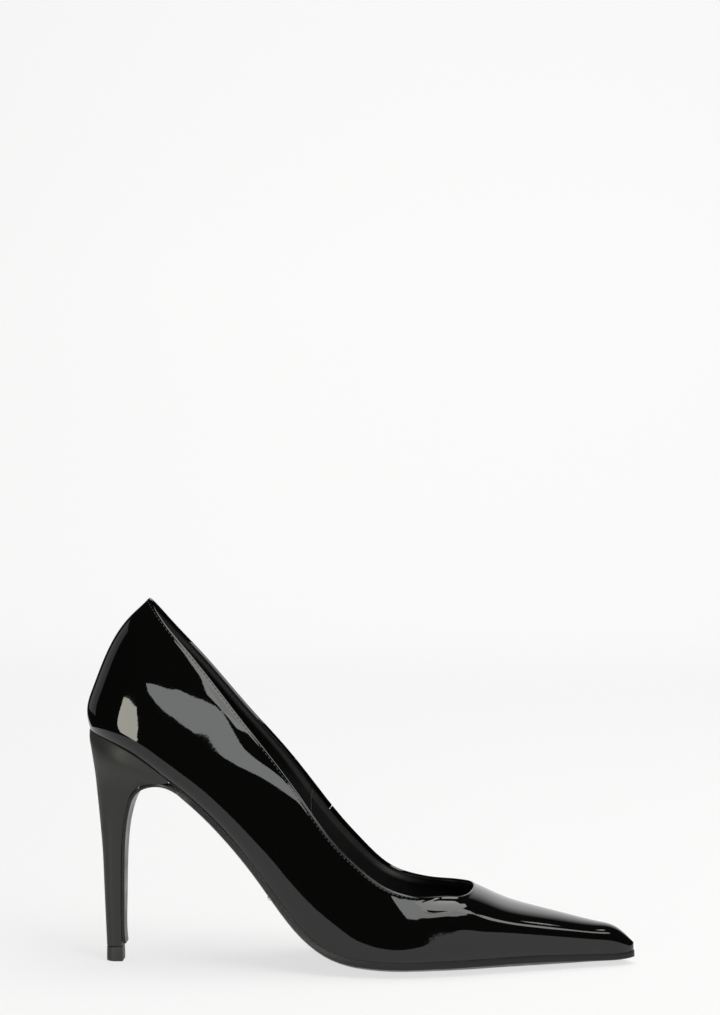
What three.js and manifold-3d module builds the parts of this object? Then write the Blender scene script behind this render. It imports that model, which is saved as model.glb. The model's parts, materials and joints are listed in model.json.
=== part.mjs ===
// A pointed stiletto pump for the right foot, as the assembly of pieces that a shoemaker joins.
// Millimetres. +X points to the toe, +Y to the inner (medial) side of the foot, +Z up.
// The origin is the centre of the tread face of the heel's top piece, which stands on the floor.
import * as THREE from "three";
import { mergeVertices } from "three/addons/utils/BufferGeometryUtils.js";
import Module from "manifold-3d";

const wasm = await Module();
wasm.setup();

// ---- driving dimensions ----

const GAP = 0.3; // clearance between pieces that touch on the real shoe
const BACK_X = -11.5; // rearmost point of the feather line, where the upper meets the heel
const TOE_X = 235.5; // foremost point of the upper
const BACK_ROUND = 26; // length over which the back of the seat rounds off
const TOE_ROUND = 8; // length over which the toe rounds off
const BACK_STEPS = 5; // steps between cross sections round the back, along the shoe and at the toe
const MIDDLE_STEPS = 17;
const TOE_STEPS = 3;
const SIDE_STEPS = 6; // steps up each side of a cross section
const BOTTOM_STEPS = 3; // steps from the middle of the bottom to each edge
const BULGE_HEIGHT = 0.3; // share of a section's height at which its side is widest
const ACROSS = [-1, -2 / 3, -1 / 3, 0, 1 / 3, 2 / 3, 1]; // where a plate is shaped across the shoe
const FAR = 200; // reach of the tools that cut away whole regions

const UPPER_THICK = 1.2;
const STIFFENER_DEPTH = 1.5; // counter, toe puff and tape lie between upper and lining
const STIFFENER_THICK = 1.0;
const LINING_DEPTH = 2.8;
const LINING_THICK = 0.8;
const INSOLE_DEPTH = 4.1;
const INSOLE_THICK = 2.0;
const GRIP_THICK = 0.8;
const SOCK_THICK = 0.8;
const LASTING_MARGIN = 13; // width of upper and lining turned under the insole
const SOLE_THICK = 3.0;
const WAIST_SOLE_THICK = 2.4;
const FLAP_THICK = 1.3; // outsole skived thin where it runs down the heel breast

const TOP_PIECE_HEIGHT = 6.5;
const TUBE_OUTER = 4.0;
const TUBE_BORE = 2.9;
const TUBE_TOP = 62;
const DOWEL_DIAMETER = 2.3;
const DOWEL_TOP = 24;
const COVER_THICK = 0.6;

// The outer surface of the upper, as rows from heel to toe. x and z give the feather line, rx and
// rz the ridge that closes the section on top (above the opening it is a construction line), f
// the half widths at the feather and w the greatest half widths, each on the outer and the inner
// side of the foot. crown is how square the section's top is, and drop how far the middle of the
// bottom lies below its edges.
const LAST = [
  { x: -11.5, z: 106.0, rx: 20.0, rz: 171.0, f: [22.5, 22.5], w: [25.0, 25.0], crown: 3.0, drop: 0.8 },
  { x: 0, z: 102.0, rx: 29.0, rz: 163.5, f: [22.8, 22.8], w: [25.8, 25.8], crown: 3.0, drop: 1.2 },
  { x: 12, z: 95.8, rx: 40.0, rz: 151.5, f: [23.0, 22.5], w: [26.2, 26.2], crown: 3.3, drop: 1.5 },
  { x: 25, z: 86.4, rx: 55.0, rz: 133.0, f: [23.0, 21.0], w: [26.4, 26.2], crown: 4.0, drop: 1.8 },
  { x: 40, z: 74.3, rx: 72.0, rz: 112.0, f: [23.0, 18.8], w: [26.2, 25.6], crown: 4.5, drop: 2.0 },
  { x: 55, z: 59.4, rx: 88.5, rz: 90.5, f: [23.3, 18.3], w: [26.6, 25.4], crown: 4.2, drop: 2.0 },
  { x: 70, z: 41.5, rx: 104.0, rz: 73.0, f: [25.5, 20.5], w: [28.6, 27.0], crown: 3.4, drop: 2.0 },
  { x: 85, z: 22.5, rx: 117.5, rz: 60.5, f: [29.0, 26.0], w: [32.0, 30.0], crown: 2.7, drop: 2.3 },
  { x: 100, z: 11.2, rx: 128.5, rz: 52.0, f: [33.0, 31.0], w: [35.2, 34.0], crown: 2.3, drop: 3.0 },
  { x: 115, z: 7.8, rx: 137.5, rz: 46.0, f: [35.5, 33.5], w: [37.5, 36.6], crown: 2.05, drop: 3.7 },
  { x: 130, z: 7.1, rx: 146.5, rz: 41.2, f: [36.0, 34.0], w: [38.0, 37.0], crown: 1.9, drop: 3.8 },
  { x: 147, z: 7.1, rx: 156.5, rz: 37.8, f: [33.0, 32.0], w: [34.8, 34.2], crown: 1.85, drop: 3.7 },
  { x: 160, z: 7.1, rx: 165.0, rz: 35.0, f: [29.3, 28.8], w: [31.0, 30.2], crown: 1.85, drop: 3.6 },
  { x: 175, z: 7.2, rx: 177.0, rz: 29.9, f: [24.2, 24.8], w: [25.6, 26.2], crown: 1.9, drop: 3.4 },
  { x: 190, z: 7.1, rx: 190.5, rz: 25.9, f: [19.0, 20.4], w: [20.2, 21.6], crown: 1.95, drop: 3.1 },
  { x: 205, z: 6.6, rx: 205.0, rz: 22.3, f: [14.0, 16.2], w: [15.0, 17.2], crown: 2.0, drop: 2.2 },
  { x: 220, z: 6.0, rx: 220.0, rz: 18.8, f: [8.9, 11.8], w: [9.6, 12.6], crown: 2.1, drop: 1.2 },
  { x: 228, z: 5.8, rx: 228.0, rz: 16.2, f: [6.4, 9.2], w: [6.9, 9.9], crown: 2.2, drop: 0.8 },
  { x: 235.5, z: 6.2, rx: 235.5, rz: 9.6, f: [4.6, 7.4], w: [5.0, 8.0], crown: 2.2, drop: 0.4 },
];

// How far the back of the upper bows out behind the straight line from feather to ridge.
const BACK_BOW = {
  at: [0, 0.06, 0.23, 0.47, 0.75, 0.9, 1],
  by: [0, 3.5, 6.9, 8.2, 6.3, 2.0, 0],
};
const BOW_DIRECTION = new THREE.Vector3(-0.9, 0, 0.436);
const BOW_REACH = 50; // the bow fades out over this length of the feather line

// The edge of the opening, seen from the side: the outer side, and how much higher the inner is.
const TOPLINE = [
  [15.4, 165.6], [24.2, 154.4], [38.9, 138.0], [59.9, 111.7], [80.6, 86.0], [100.7, 59.1],
  [110.9, 49.4], [121.8, 41.0], [132.7, 36.2], [142.3, 34.1], [152.7, 34.0], [163.5, 36.6],
];
const INNER_RISE = { at: [40, 60, 90, 115, 135], by: [0, 1.6, 2.8, 1.2, 0] };
const SEAM_TOP = [97, 66]; // the side seam on the inner side runs from here ...
const SEAM_FOOT = [72, 36]; // ... down to the arch

// Sections of the covered heel, from the seat down: back point, breast point, half width.
const HEEL = [
  { back: [-12.0, 104.6], breast: [29.0, 83.0], half: 23.2 },
  { back: [-11.6, 101.0], breast: [25.0, 83.0], half: 22.6 },
  { back: [-11.0, 97.5], breast: [21.0, 82.8], half: 21.2 },
  { back: [-10.2, 92.5], breast: [16.5, 82.1], half: 18.6 },
  { back: [-9.3, 86.5], breast: [12.2, 80.3], half: 15.2 },
  { back: [-8.6, 80.0], breast: [8.8, 77.0], half: 12.2 },
  { back: [-7.8, 72.0], breast: [6.3, 70.5], half: 9.8 },
  { back: [-7.0, 63.5], breast: [4.7, 63.0], half: 8.0 },
  { back: [-6.0, 52.0], breast: [3.6, 52.0], half: 6.7 },
  { back: [-5.3, 38.0], breast: [3.2, 38.0], half: 5.8 },
  { back: [-4.7, 24.0], breast: [3.1, 24.0], half: 5.1 },
  { back: [-3.9, 6.8], breast: [3.4, 6.8], half: 4.4 },
];
const SEAT_GAP = 0.4; // the curved seat is faceted, so it keeps a little more clearance
const SEAT_LIFT = 6; // the heel is shaped this far up into the seat before the seat is cut

// ---- interpolation ----

// A smooth curve through the values `by` at the places `at`, held level outside them.
function smooth(at, by, x) {
  const last = at.length - 1;
  if (x <= at[0]) return by[0];
  if (x >= at[last]) return by[last];
  const i = at.findIndex((place) => place > x) - 1;
  const slope = (j) => {
    const a = Math.max(j - 1, 0);
    const b = Math.min(j + 1, last);
    return (by[b] - by[a]) / (at[b] - at[a]);
  };
  const span = at[i + 1] - at[i];
  const u = (x - at[i]) / span;
  const rise = by[i + 1] - by[i];
  const a = slope(i) * span - rise;
  const b = rise - slope(i + 1) * span;
  return by[i] + rise * u + u * (1 - u) * (a * (1 - u) + b * u);
}

const LAST_X = LAST.map((row) => row.x);

// One measure of the outer surface at a place along the feather line.
function lastAt(x, measure) {
  return smooth(LAST_X, LAST.map(measure), x);
}

// ---- solids ----

function geometryOf(points, triangles) {
  const geometry = new THREE.BufferGeometry();
  geometry.setAttribute("position", new THREE.Float32BufferAttribute(points.flat(), 3));
  geometry.setIndex(triangles);
  return geometry;
}

// A manifold-3d solid of a closed three.js geometry.
function solidOf(geometry) {
  const bare = geometry.clone();
  bare.deleteAttribute("normal");
  bare.deleteAttribute("uv");
  const merged = mergeVertices(bare, 1e-4);
  const index = merged.index.array;
  const kept = [];
  for (let i = 0; i < index.length; i += 3) {
    const [a, b, c] = [index[i], index[i + 1], index[i + 2]];
    if (a !== b && b !== c && c !== a) kept.push(a, b, c);
  }
  return new wasm.Manifold(new wasm.Mesh({
    numProp: 3,
    vertProperties: new Float32Array(merged.attributes.position.array),
    triVerts: new Uint32Array(kept),
  }));
}

// The three.js mesh of a solid.
function meshOf(name, solid, material) {
  const made = solid.getMesh();
  const geometry = new THREE.BufferGeometry();
  const stride = made.numProp;
  const positions = new Float32Array(made.numVert * 3);
  for (let i = 0; i < made.numVert; i++) {
    positions.set(made.vertProperties.subarray(i * stride, i * stride + 3), i * 3);
  }
  geometry.setAttribute("position", new THREE.BufferAttribute(positions, 3));
  geometry.setIndex(new THREE.BufferAttribute(new Uint32Array(made.triVerts), 1));
  geometry.computeVertexNormals();
  const mesh = new THREE.Mesh(geometry, material);
  mesh.name = name;
  return mesh;
}

// A closed solid through rings of equally many points, capped at both ends.
function loft(rings) {
  const size = rings[0].length;
  const points = rings.flat();
  const triangles = [];
  for (let r = 0; r + 1 < rings.length; r++) {
    for (let i = 0; i < size; i++) {
      const a = r * size + i;
      const b = r * size + ((i + 1) % size);
      triangles.push(a, b, b + size, a, b + size, a + size);
    }
  }
  for (const [ring, forward] of [[0, false], [rings.length - 1, true]]) {
    const centre = points.length;
    const mean = [0, 1, 2].map((k) => rings[ring].reduce((sum, p) => sum + p[k], 0) / size);
    points.push(mean);
    for (let i = 0; i < size; i++) {
      const a = ring * size + i;
      const b = ring * size + ((i + 1) % size);
      triangles.push(...(forward ? [a, b, centre] : [b, a, centre]));
    }
  }
  const solid = solidOf(geometryOf(points, triangles));
  if (solid.volume() > 0) return solid;
  const turned = [];
  for (let i = 0; i < triangles.length; i += 3) {
    turned.push(triangles[i], triangles[i + 2], triangles[i + 1]);
  }
  return solidOf(geometryOf(points, turned));
}

// An outline in the side view, extruded across the shoe from y = from to y = to.
function acrossPrism(outline, from, to) {
  const shape = new THREE.Shape(outline.map(([x, z]) => new THREE.Vector2(x, z)));
  const geometry = new THREE.ExtrudeGeometry(shape, { depth: to - from, bevelEnabled: false });
  geometry.rotateX(Math.PI / 2);
  geometry.translate(0, to, 0);
  return solidOf(geometry);
}

// A round bar from one point to another.
function bar(from, to, diameter, sides = 8) {
  const start = new THREE.Vector3(...from);
  const end = new THREE.Vector3(...to);
  const axis = end.clone().sub(start);
  const geometry = new THREE.CylinderGeometry(diameter / 2, diameter / 2, axis.length(), sides);
  const turn = new THREE.Quaternion().setFromUnitVectors(
    new THREE.Vector3(0, 1, 0),
    axis.clone().normalize(),
  );
  geometry.applyQuaternion(turn);
  geometry.translate(...start.add(end).multiplyScalar(0.5).toArray());
  return solidOf(geometry);
}

// ---- the outer surface of the upper, and surfaces at a depth below it ----

// Unit vector square to the bottom, pointing into the shoe.
function bottomNormal(x) {
  const step = 1;
  const rise = lastAt(x + step, (row) => row.z) - lastAt(x - step, (row) => row.z);
  return new THREE.Vector3(-rise / (2 * step), 0, 1).normalize();
}

// How much of its width a section keeps where the back or the toe rounds off.
function endRounding(x, depth) {
  const fromBack = Math.min((x - BACK_X - depth) / (BACK_ROUND - depth), 1);
  const fromToe = Math.min((TOE_X - depth - x) / Math.max(TOE_ROUND - depth / 2, 1), 1);
  const round = (u) => Math.sqrt(Math.max(0, 1 - (1 - u) * (1 - u)));
  return round(fromBack) * round(fromToe);
}

// A point of the bottom, y across the shoe and `height` inside the outer surface.
function bottomPoint(x, y, height) {
  const side = y < 0 ? 0 : 1;
  const half = lastAt(x, (row) => row.f[side]) * endRounding(x, 0);
  const share = half > 0 ? Math.min(Math.abs(y) / half, 1) : 1;
  const lift = height - lastAt(x, (row) => row.drop) * (1 - share ** 4);
  const normal = bottomNormal(x);
  return [x + normal.x * lift, y, lastAt(x, (row) => row.z) + normal.z * lift];
}

// One ring of the surface at `depth` inside the outer one, from the middle of the bottom round.
function sectionRing(x, depth) {
  const ridge = new THREE.Vector3(lastAt(x, (row) => row.rx), 0, lastAt(x, (row) => row.rz));
  const foot = new THREE.Vector3(x, 0, lastAt(x, (row) => row.z));
  const rise = ridge.clone().sub(foot);
  ridge.addScaledVector(rise.normalize(), -Math.min(depth, 0.45 * ridge.distanceTo(foot)));
  const crown = lastAt(x, (row) => row.crown);
  const keep = endRounding(x, depth);
  const bow = Math.max(0, 1 - (x - BACK_X) / BOW_REACH) ** 1.3;
  const sides = [0, 1].map((side) => {
    const inset = (half) => Math.max(half - depth, 0.35 * half) * keep;
    const atFeather = inset(lastAt(x, (row) => row.f[side]));
    const widest = inset(lastAt(x, (row) => row.w[side]));
    const sign = side === 0 ? -1 : 1;
    const points = [];
    for (let i = 1; i < BOTTOM_STEPS; i++) {
      points.push(bottomPoint(x, (sign * atFeather * i) / BOTTOM_STEPS, depth));
    }
    const [featherX, , featherZ] = bottomPoint(x, sign * atFeather, depth);
    const feather = new THREE.Vector3(featherX, 0, featherZ);
    for (let i = 0; i < SIDE_STEPS; i++) {
      const s = Math.sin((i / SIDE_STEPS) * (Math.PI / 2));
      const place = feather.clone().lerp(ridge, s);
      place.addScaledVector(BOW_DIRECTION, bow * smooth(BACK_BOW.at, BACK_BOW.by, s));
      const spread = Math.sin(Math.min(s / BULGE_HEIGHT, 1) * (Math.PI / 2));
      const half = (atFeather + (widest - atFeather) * spread) * Math.sqrt(1 - s ** crown);
      points.push([place.x, sign * half, place.z]);
    }
    return points;
  });
  return [
    bottomPoint(x, 0, depth),
    ...sides[0],
    [ridge.x, 0, ridge.z],
    ...sides[1].reverse(),
  ];
}

// Places of the sections of the surface at `depth`, closer together where the ends round off.
function stationPlaces(depth) {
  const from = BACK_X + depth;
  const to = TOE_X - depth;
  const backRound = BACK_ROUND - depth;
  const toeRound = Math.max(TOE_ROUND - depth / 2, 1);
  const fall = (i, steps) => 1 - Math.cos(((i / steps) * Math.PI) / 2);
  const places = [];
  for (let i = 0; i < BACK_STEPS; i++) places.push(from + backRound * fall(i, BACK_STEPS));
  const run = to - toeRound - from - backRound;
  for (let i = 0; i < MIDDLE_STEPS; i++) places.push(from + backRound + (run * i) / MIDDLE_STEPS);
  for (let i = TOE_STEPS; i >= 0; i--) places.push(to - toeRound * fall(i, TOE_STEPS));
  return places;
}

// Where a plate that reaches between two places is shaped: its rounded back end, then the
// places of the outer surface's own sections.
function placesBetween(from, to) {
  const clear = 2;
  const roundEnd = BACK_X + BACK_ROUND;
  const places = [from];
  for (let i = 1; from < roundEnd - clear && i < BACK_STEPS; i++) {
    places.push(from + (roundEnd - from) * (1 - Math.cos(((i / BACK_STEPS) * Math.PI) / 2)));
  }
  const start = Math.max(from + clear, roundEnd - clear);
  places.push(...stationPlaces(0).filter((x) => x > start && x < to - clear), to);
  return places;
}

// The closed solid inside the surface at a depth below the outer one.
const bodyCache = new Map();
function bodyAt(depth) {
  if (!bodyCache.has(depth)) {
    bodyCache.set(depth, loft(stationPlaces(depth).map((x) => sectionRing(x, depth))));
  }
  return bodyCache.get(depth);
}

function layer(depth, thickness) {
  return bodyAt(depth).subtract(bodyAt(depth + thickness));
}

// ---- tools that cut the layers ----

// The topline of one side (0 outer, 1 inner), moved `below` the edge.
function toplinePoints(side, below) {
  const curve = new THREE.SplineCurve(TOPLINE.map(([x, z]) => new THREE.Vector2(
    x,
    z + side * smooth(INNER_RISE.at, INNER_RISE.by, x),
  )));
  const count = 15;
  const points = [];
  for (let i = 0; i <= count; i++) {
    const place = curve.getPoint(i / count);
    const along = curve.getTangent(i / count);
    points.push([place.x + along.y * below, place.y - along.x * below]);
  }
  return points;
}

// Everything above the topline, or above a line `below` it.
function aboveTopline(below) {
  const halves = [0, 1].map((side) => {
    const points = toplinePoints(side, below);
    const [startX, startZ] = points[0];
    const [endX, endZ] = points[points.length - 1];
    const outline = [
      ...points,
      [endX + 0.6 * below, endZ + 0.6 * below],
      [endX + 0.6 * below, endZ + FAR],
      [startX - FAR, endZ + FAR],
      [startX - FAR, startZ],
    ];
    return acrossPrism(outline, side === 0 ? -FAR : 0, side === 0 ? 0 : FAR);
  });
  return halves[0].add(halves[1]);
}

// The middle of the bottom, inside the lasting margin, down through all the layers.
function insideMargin(margin, lowest, highest) {
  return plate(BACK_X + margin, TOE_X - 2.2 * margin, lowest, highest, margin);
}

// A plate along the bottom between two heights, `inset` from the feather edge all round.
function plate(from, to, lowest, highest, inset, lift = () => 0) {
  const rings = [];
  for (const x of placesBetween(from, to)) {
    const keep = endRounding(x, Math.min(inset, 10) - 0.4);
    const half = (side) => Math.max((lastAt(x, (row) => row.f[side]) - inset) * keep, 0.8);
    const row = (height) => ACROSS.map((share) => (
      bottomPoint(x, share * half(share < 0 ? 0 : 1), height + lift(x))
    ));
    rings.push([...row(lowest), ...row(highest).reverse()]);
  }
  return loft(rings);
}

// The region of the inner side of the foot behind the side seam, widened by `grow`.
function innerRear(grow) {
  const slope = (SEAM_TOP[0] - SEAM_FOOT[0]) / (SEAM_TOP[1] - SEAM_FOOT[1]);
  const seamX = (z) => SEAM_FOOT[0] + slope * (z - SEAM_FOOT[1]) + grow;
  const outline = [[seamX(-FAR), -FAR], [seamX(FAR), FAR], [-FAR, FAR], [-FAR, -FAR]];
  return acrossPrism(outline, -grow, FAR);
}

// Everything in front of x = at.
function inFrontOf(at) {
  return acrossPrism([[at, -FAR], [at + 2 * FAR, -FAR], [at + 2 * FAR, FAR], [at, FAR]], -FAR, FAR);
}

// ---- materials ----

function finish(color, roughness, metalness = 0) {
  return new THREE.MeshStandardMaterial({ color, roughness, metalness });
}

const PATENT = finish(0x0b0b0c, 0.12);
const LINING = finish(0x151515, 0.55);
const COVER = finish(0x232323, 0.35);
const SOLE = finish(0x101010, 0.4);
const BOARD = finish(0x8a6f52, 0.9);
const FOAM = finish(0xd8d2c4, 0.95);
const STIFFENER = finish(0xcfc9bb, 0.8);
const PLASTIC = finish(0xd9d6cf, 0.4);
const STEEL = finish(0xb4b6b8, 0.35, 1);
const BRASS = finish(0xb9975b, 0.35, 1);
const CHROME = finish(0xd5d7da, 0.08, 1);
const RUBBER = finish(0x171717, 0.6);

// ---- upper and lining ----

function upperPieces() {
  const shell = layer(0, UPPER_THICK)
    .subtract(aboveTopline(0))
    .subtract(insideMargin(LASTING_MARGIN, -6, 3));
  return [
    meshOf("upper_vamp", shell.subtract(innerRear(GAP)), PATENT),
    meshOf("upper_inner_quarter", shell.intersect(innerRear(0)), PATENT),
  ];
}

function liningPieces() {
  const split = 88; // the lining is joined across the shoe just in front of the arch
  const shell = layer(LINING_DEPTH, LINING_THICK)
    .subtract(aboveTopline(0.4))
    .subtract(insideMargin(LASTING_MARGIN, -6, 6));
  return [
    meshOf("vamp_lining", shell.intersect(inFrontOf(split)), LINING),
    meshOf("quarter_lining", shell.subtract(inFrontOf(split - GAP)), LINING),
  ];
}

function heelGrip() {
  const reach = 34;
  const shell = layer(INSOLE_DEPTH, GRIP_THICK)
    .subtract(aboveTopline(3))
    .subtract(inFrontOf(reach))
    .subtract(bottomSlab(12));
  return meshOf("heel_grip", shell, LINING);
}

// All that lies less than `height` above the bottom.
function bottomSlab(height) {
  return plate(BACK_X - 4, TOE_X, -20, height, -20);
}

function stiffeners() {
  const shell = layer(STIFFENER_DEPTH, STIFFENER_THICK)
    .subtract(insideMargin(LASTING_MARGIN, -6, 4));
  const counterFront = 62;
  const puffBack = 188;
  const tapeWidth = 9;
  const counter = shell.subtract(aboveTopline(16)).subtract(inFrontOf(counterFront));
  const puff = shell.intersect(inFrontOf(puffBack));
  const tape = layer(STIFFENER_DEPTH, STIFFENER_THICK)
    .subtract(aboveTopline(2))
    .intersect(aboveTopline(2 + tapeWidth));
  return [
    meshOf("heel_counter", counter, STIFFENER),
    meshOf("toe_puff", puff, STIFFENER),
    meshOf("topline_tape", tape, FOAM),
  ];
}

// ---- insole, shank and padding ----

const SCREW_X = 12;
const RIVET_X = [30, 52];
const SHANK_HEIGHT = [1.9, 3.3];
const SHANK_HALF = 4;
const BOARD_JOINT = 78; // where the stiff back part meets the flexible forepart

function heelPadLift(x) {
  return 2.4 * THREE.MathUtils.smoothstep(x, -9, 0) * (1 - THREE.MathUtils.smoothstep(x, 26, 36));
}

function ballPadLift(x) {
  return 2.2 * THREE.MathUtils.smoothstep(x, 92, 104) * (1 - THREE.MathUtils.smoothstep(x, 140, 152));
}

const INSOLE_TOP = INSOLE_DEPTH + INSOLE_THICK;

// A bar square to the bottom at x, y, between two heights above it.
function bottomBar(x, y, from, to, diameter) {
  const normal = bottomNormal(x);
  const [px, py, pz] = bottomPoint(x, y, 0);
  const at = (height) => [px + normal.x * height, py, pz + normal.z * height];
  return bar(at(from), at(to), diameter);
}

function shankSolid() {
  const from = 5;
  const to = 92;
  const steps = 16;
  const rings = [];
  for (let i = 0; i <= steps; i++) {
    const x = from + ((to - from) * i) / steps;
    const round = Math.sqrt(1 - Math.abs((2 * i) / steps - 1) ** 8 * 0.6);
    const half = SHANK_HALF * round;
    const corner = (y, height) => {
      const [, , z] = bottomPoint(x, 0, height);
      return [bottomPoint(x, 0, height)[0], y, z];
    };
    rings.push([
      corner(-half, SHANK_HEIGHT[0]), corner(half, SHANK_HEIGHT[0]),
      corner(half, SHANK_HEIGHT[1]), corner(-half, SHANK_HEIGHT[1]),
    ]);
  }
  return loft(rings);
}

function insolePieces() {
  const inset = INSOLE_DEPTH + 0.9;
  const board = plate(BACK_X + inset + 3, TOE_X - inset - 5, INSOLE_DEPTH, INSOLE_TOP, inset);
  let back = board.subtract(inFrontOf(BOARD_JOINT));
  for (const x of RIVET_X) {
    back = back.subtract(bottomBar(x, 0, 2, INSOLE_TOP + 2, 3 + 2 * GAP));
  }
  back = back.subtract(bottomBar(SCREW_X, 0, 2, INSOLE_TOP + 2, 4 + 2 * GAP));
  for (const { x, y } of NAILS) {
    back = back.subtract(bottomBar(x, y, 2, INSOLE_TOP + 2, NAIL_DIAMETER + 2 * GAP));
  }
  let shank = shankSolid();
  for (const x of RIVET_X) shank = shank.subtract(bottomBar(x, 0, 0, 6, 3 + 2 * GAP));
  shank = shank.subtract(bottomBar(SCREW_X, 0, 0, 6, 4 + 2 * GAP));
  const rivets = RIVET_X.map((x, i) => {
    const middle = bottomBar(x, 0, 1.0, INSOLE_TOP - 0.2, 3);
    const head = bottomBar(x, 0, 0.7, 1.5, 5);
    return meshOf("shank_rivet_" + (i + 1), middle.add(head), STEEL);
  });
  return [
    meshOf("insole_backpart", back, BOARD),
    meshOf("insole_forepart", board.intersect(inFrontOf(BOARD_JOINT + GAP)), BOARD),
    meshOf("shank", shank, STEEL),
    ...rivets,
  ];
}

function paddingPieces() {
  const inset = INSOLE_DEPTH + GRIP_THICK + 2.2;
  const low = INSOLE_TOP + GAP;
  const heelPad = padPlate(-5, 34, inset, low, heelPadLift);
  const ballPad = padPlate(96, 150, inset + 3, low + 0.4, ballPadLift);
  const lift = (x) => heelPadLift(x) + ballPadLift(x);
  const sockLow = low + 1.1;
  const sock = plate(BACK_X + inset + 1, TOE_X - 26, sockLow, sockLow + SOCK_THICK, inset, lift);
  return [
    meshOf("heel_pad", heelPad, FOAM),
    meshOf("ball_pad", ballPad, FOAM),
    meshOf("sock", sock, LINING),
  ];
}

// A foam pad with a flat underside whose top follows its lift and fades out at the ends.
function padPlate(from, to, inset, low, lift) {
  const rings = [];
  for (const x of placesBetween(from, to)) {
    const ends = 1 - 0.45 * Math.abs((2 * (x - from)) / (to - from) - 1) ** 5;
    const keep = endRounding(x, Math.min(inset, 9)) * ends;
    const half = (side) => (lastAt(x, (row) => row.f[side]) - inset) * keep;
    const row = (height) => ACROSS.map((share) => (
      bottomPoint(x, share * half(share < 0 ? 0 : 1), height)
    ));
    rings.push([...row(low), ...row(low + 0.4 + lift(x)).reverse()]);
  }
  return loft(rings);
}

function bottomFiller() {
  const solid = plate(104, 205, GAP, INSOLE_DEPTH - 2 * GAP, LASTING_MARGIN + 0.8);
  return meshOf("bottom_filler", solid, FOAM);
}

// ---- outsole ----

function soleThickness(x) {
  return smooth([40, 100, 230], [WAIST_SOLE_THICK, SOLE_THICK, SOLE_THICK - 0.4], x);
}

// The outer face of the outsole where it leaves the seat and runs down the heel breast, with
// the half width and the sag of the middle at each point.
const FLAP = [
  [30.6, 78.4, 21.0, 1.7], [26.6, 80.4, 20.6, 1.4], [22.2, 81.3, 19.6, 1.0], [17.4, 80.7, 17.4, 0.4],
  [13.4, 79.0, 14.8, 0], [10.0, 75.8, 12.0, 0], [7.8, 70.6, 9.6, 0], [6.2, 63.4, 7.8, 0],
  [5.2, 53.0, 6.5, 0], [4.8, 38.0, 5.5, 0], [4.7, 24.0, 4.8, 0], [4.9, 12.0, 4.3, 0], [5.3, 8.2, 4.2, 0],
];
const SOLE_GAP = 0.45; // curved faces that lie on each other are faceted, so they keep more clearance
const SOLE_BACK_X = 36; // behind this the outsole leaves the upper for the heel breast
const SOLE_EDGE = 0.4; // the sole edge stands this far outside the feather on the forepart
const STUD_X = 76.5;

function soleRing(x) {
  const keep = endRounding(x, -SOLE_EDGE);
  const edge = SOLE_EDGE * THREE.MathUtils.smoothstep(x, 70, 110) - 0.4;
  const half = (side) => (lastAt(x, (row) => row.f[side]) + edge) * keep;
  const row = (height) => ACROSS.map((share) => (
    bottomPoint(x, share * half(share < 0 ? 0 : 1), height)
  ));
  const tread = row(-SOLE_GAP - soleThickness(x)).map(([px, py, pz]) => [px, py, Math.max(pz, 0)]);
  return [...row(-SOLE_GAP), ...tread.reverse()];
}

function flapRing(i) {
  const [x, z, half, sag] = FLAP[i];
  const before = FLAP[Math.max(i - 1, 0)];
  const after = FLAP[Math.min(i + 1, FLAP.length - 1)];
  const along = new THREE.Vector2(after[0] - before[0], after[1] - before[1]).normalize();
  const inward = new THREE.Vector2(along.y, -along.x);
  const row = (depth) => ACROSS.map((share) => {
    const move = depth - sag * (1 - share ** 4);
    return [x + inward.x * move, share * half, z + inward.y * move];
  });
  return [...row(FLAP_THICK), ...row(0).reverse()];
}

function outsoleSolid() {
  const rings = placesBetween(SOLE_BACK_X, TOE_X - 0.2).reverse().map(soleRing);
  FLAP.forEach((point, i) => rings.push(flapRing(i)));
  return loft(rings).subtract(bottomBar(STUD_X, 0, -9, -1.2, 1.2 + 2 * GAP));
}

// A small polished ball on a short pin, set into the middle of the waist.
function soleStud() {
  const surface = -SOLE_GAP - soleThickness(STUD_X);
  const radius = 1.7;
  const pin = bottomBar(STUD_X, 0, surface - radius, -1.6, 1.2);
  const normal = bottomNormal(STUD_X);
  const [x, y, z] = bottomPoint(STUD_X, 0, surface - radius - 0.4);
  const ball = new THREE.SphereGeometry(radius, 14, 9);
  ball.rotateX(Math.PI / 2 - Math.acos(normal.z));
  ball.translate(x, y, z);
  return meshOf("sole_stud", solidOf(ball).add(pin), CHROME);
}

// ---- heel ----

// A heel section `inset` inside the cover: a round back that runs into a flat breast.
function heelRing({ back, breast, half }, inset) {
  const length = Math.hypot(breast[0] - back[0], breast[1] - back[1]);
  const along = [(breast[0] - back[0]) / length, (breast[1] - back[1]) / length];
  const reach = length - 2 * inset;
  const round = 0.58;
  const sidePoints = (sign) => {
    const points = [];
    for (let i = 1; i <= 5; i++) {
      const angle = (i / 5) * (Math.PI / 2);
      points.push([round * (1 - Math.cos(angle)), sign * Math.sin(angle)]);
    }
    points.push([1, sign * 0.96]);
    return points;
  };
  const outline = [[0, 0], ...sidePoints(-1), [1, 0], ...sidePoints(1).reverse()];
  return outline.map(([u, v]) => {
    const run = inset + u * reach;
    return [back[0] + along[0] * run, v * (half - inset), back[1] + along[1] * run];
  });
}

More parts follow.
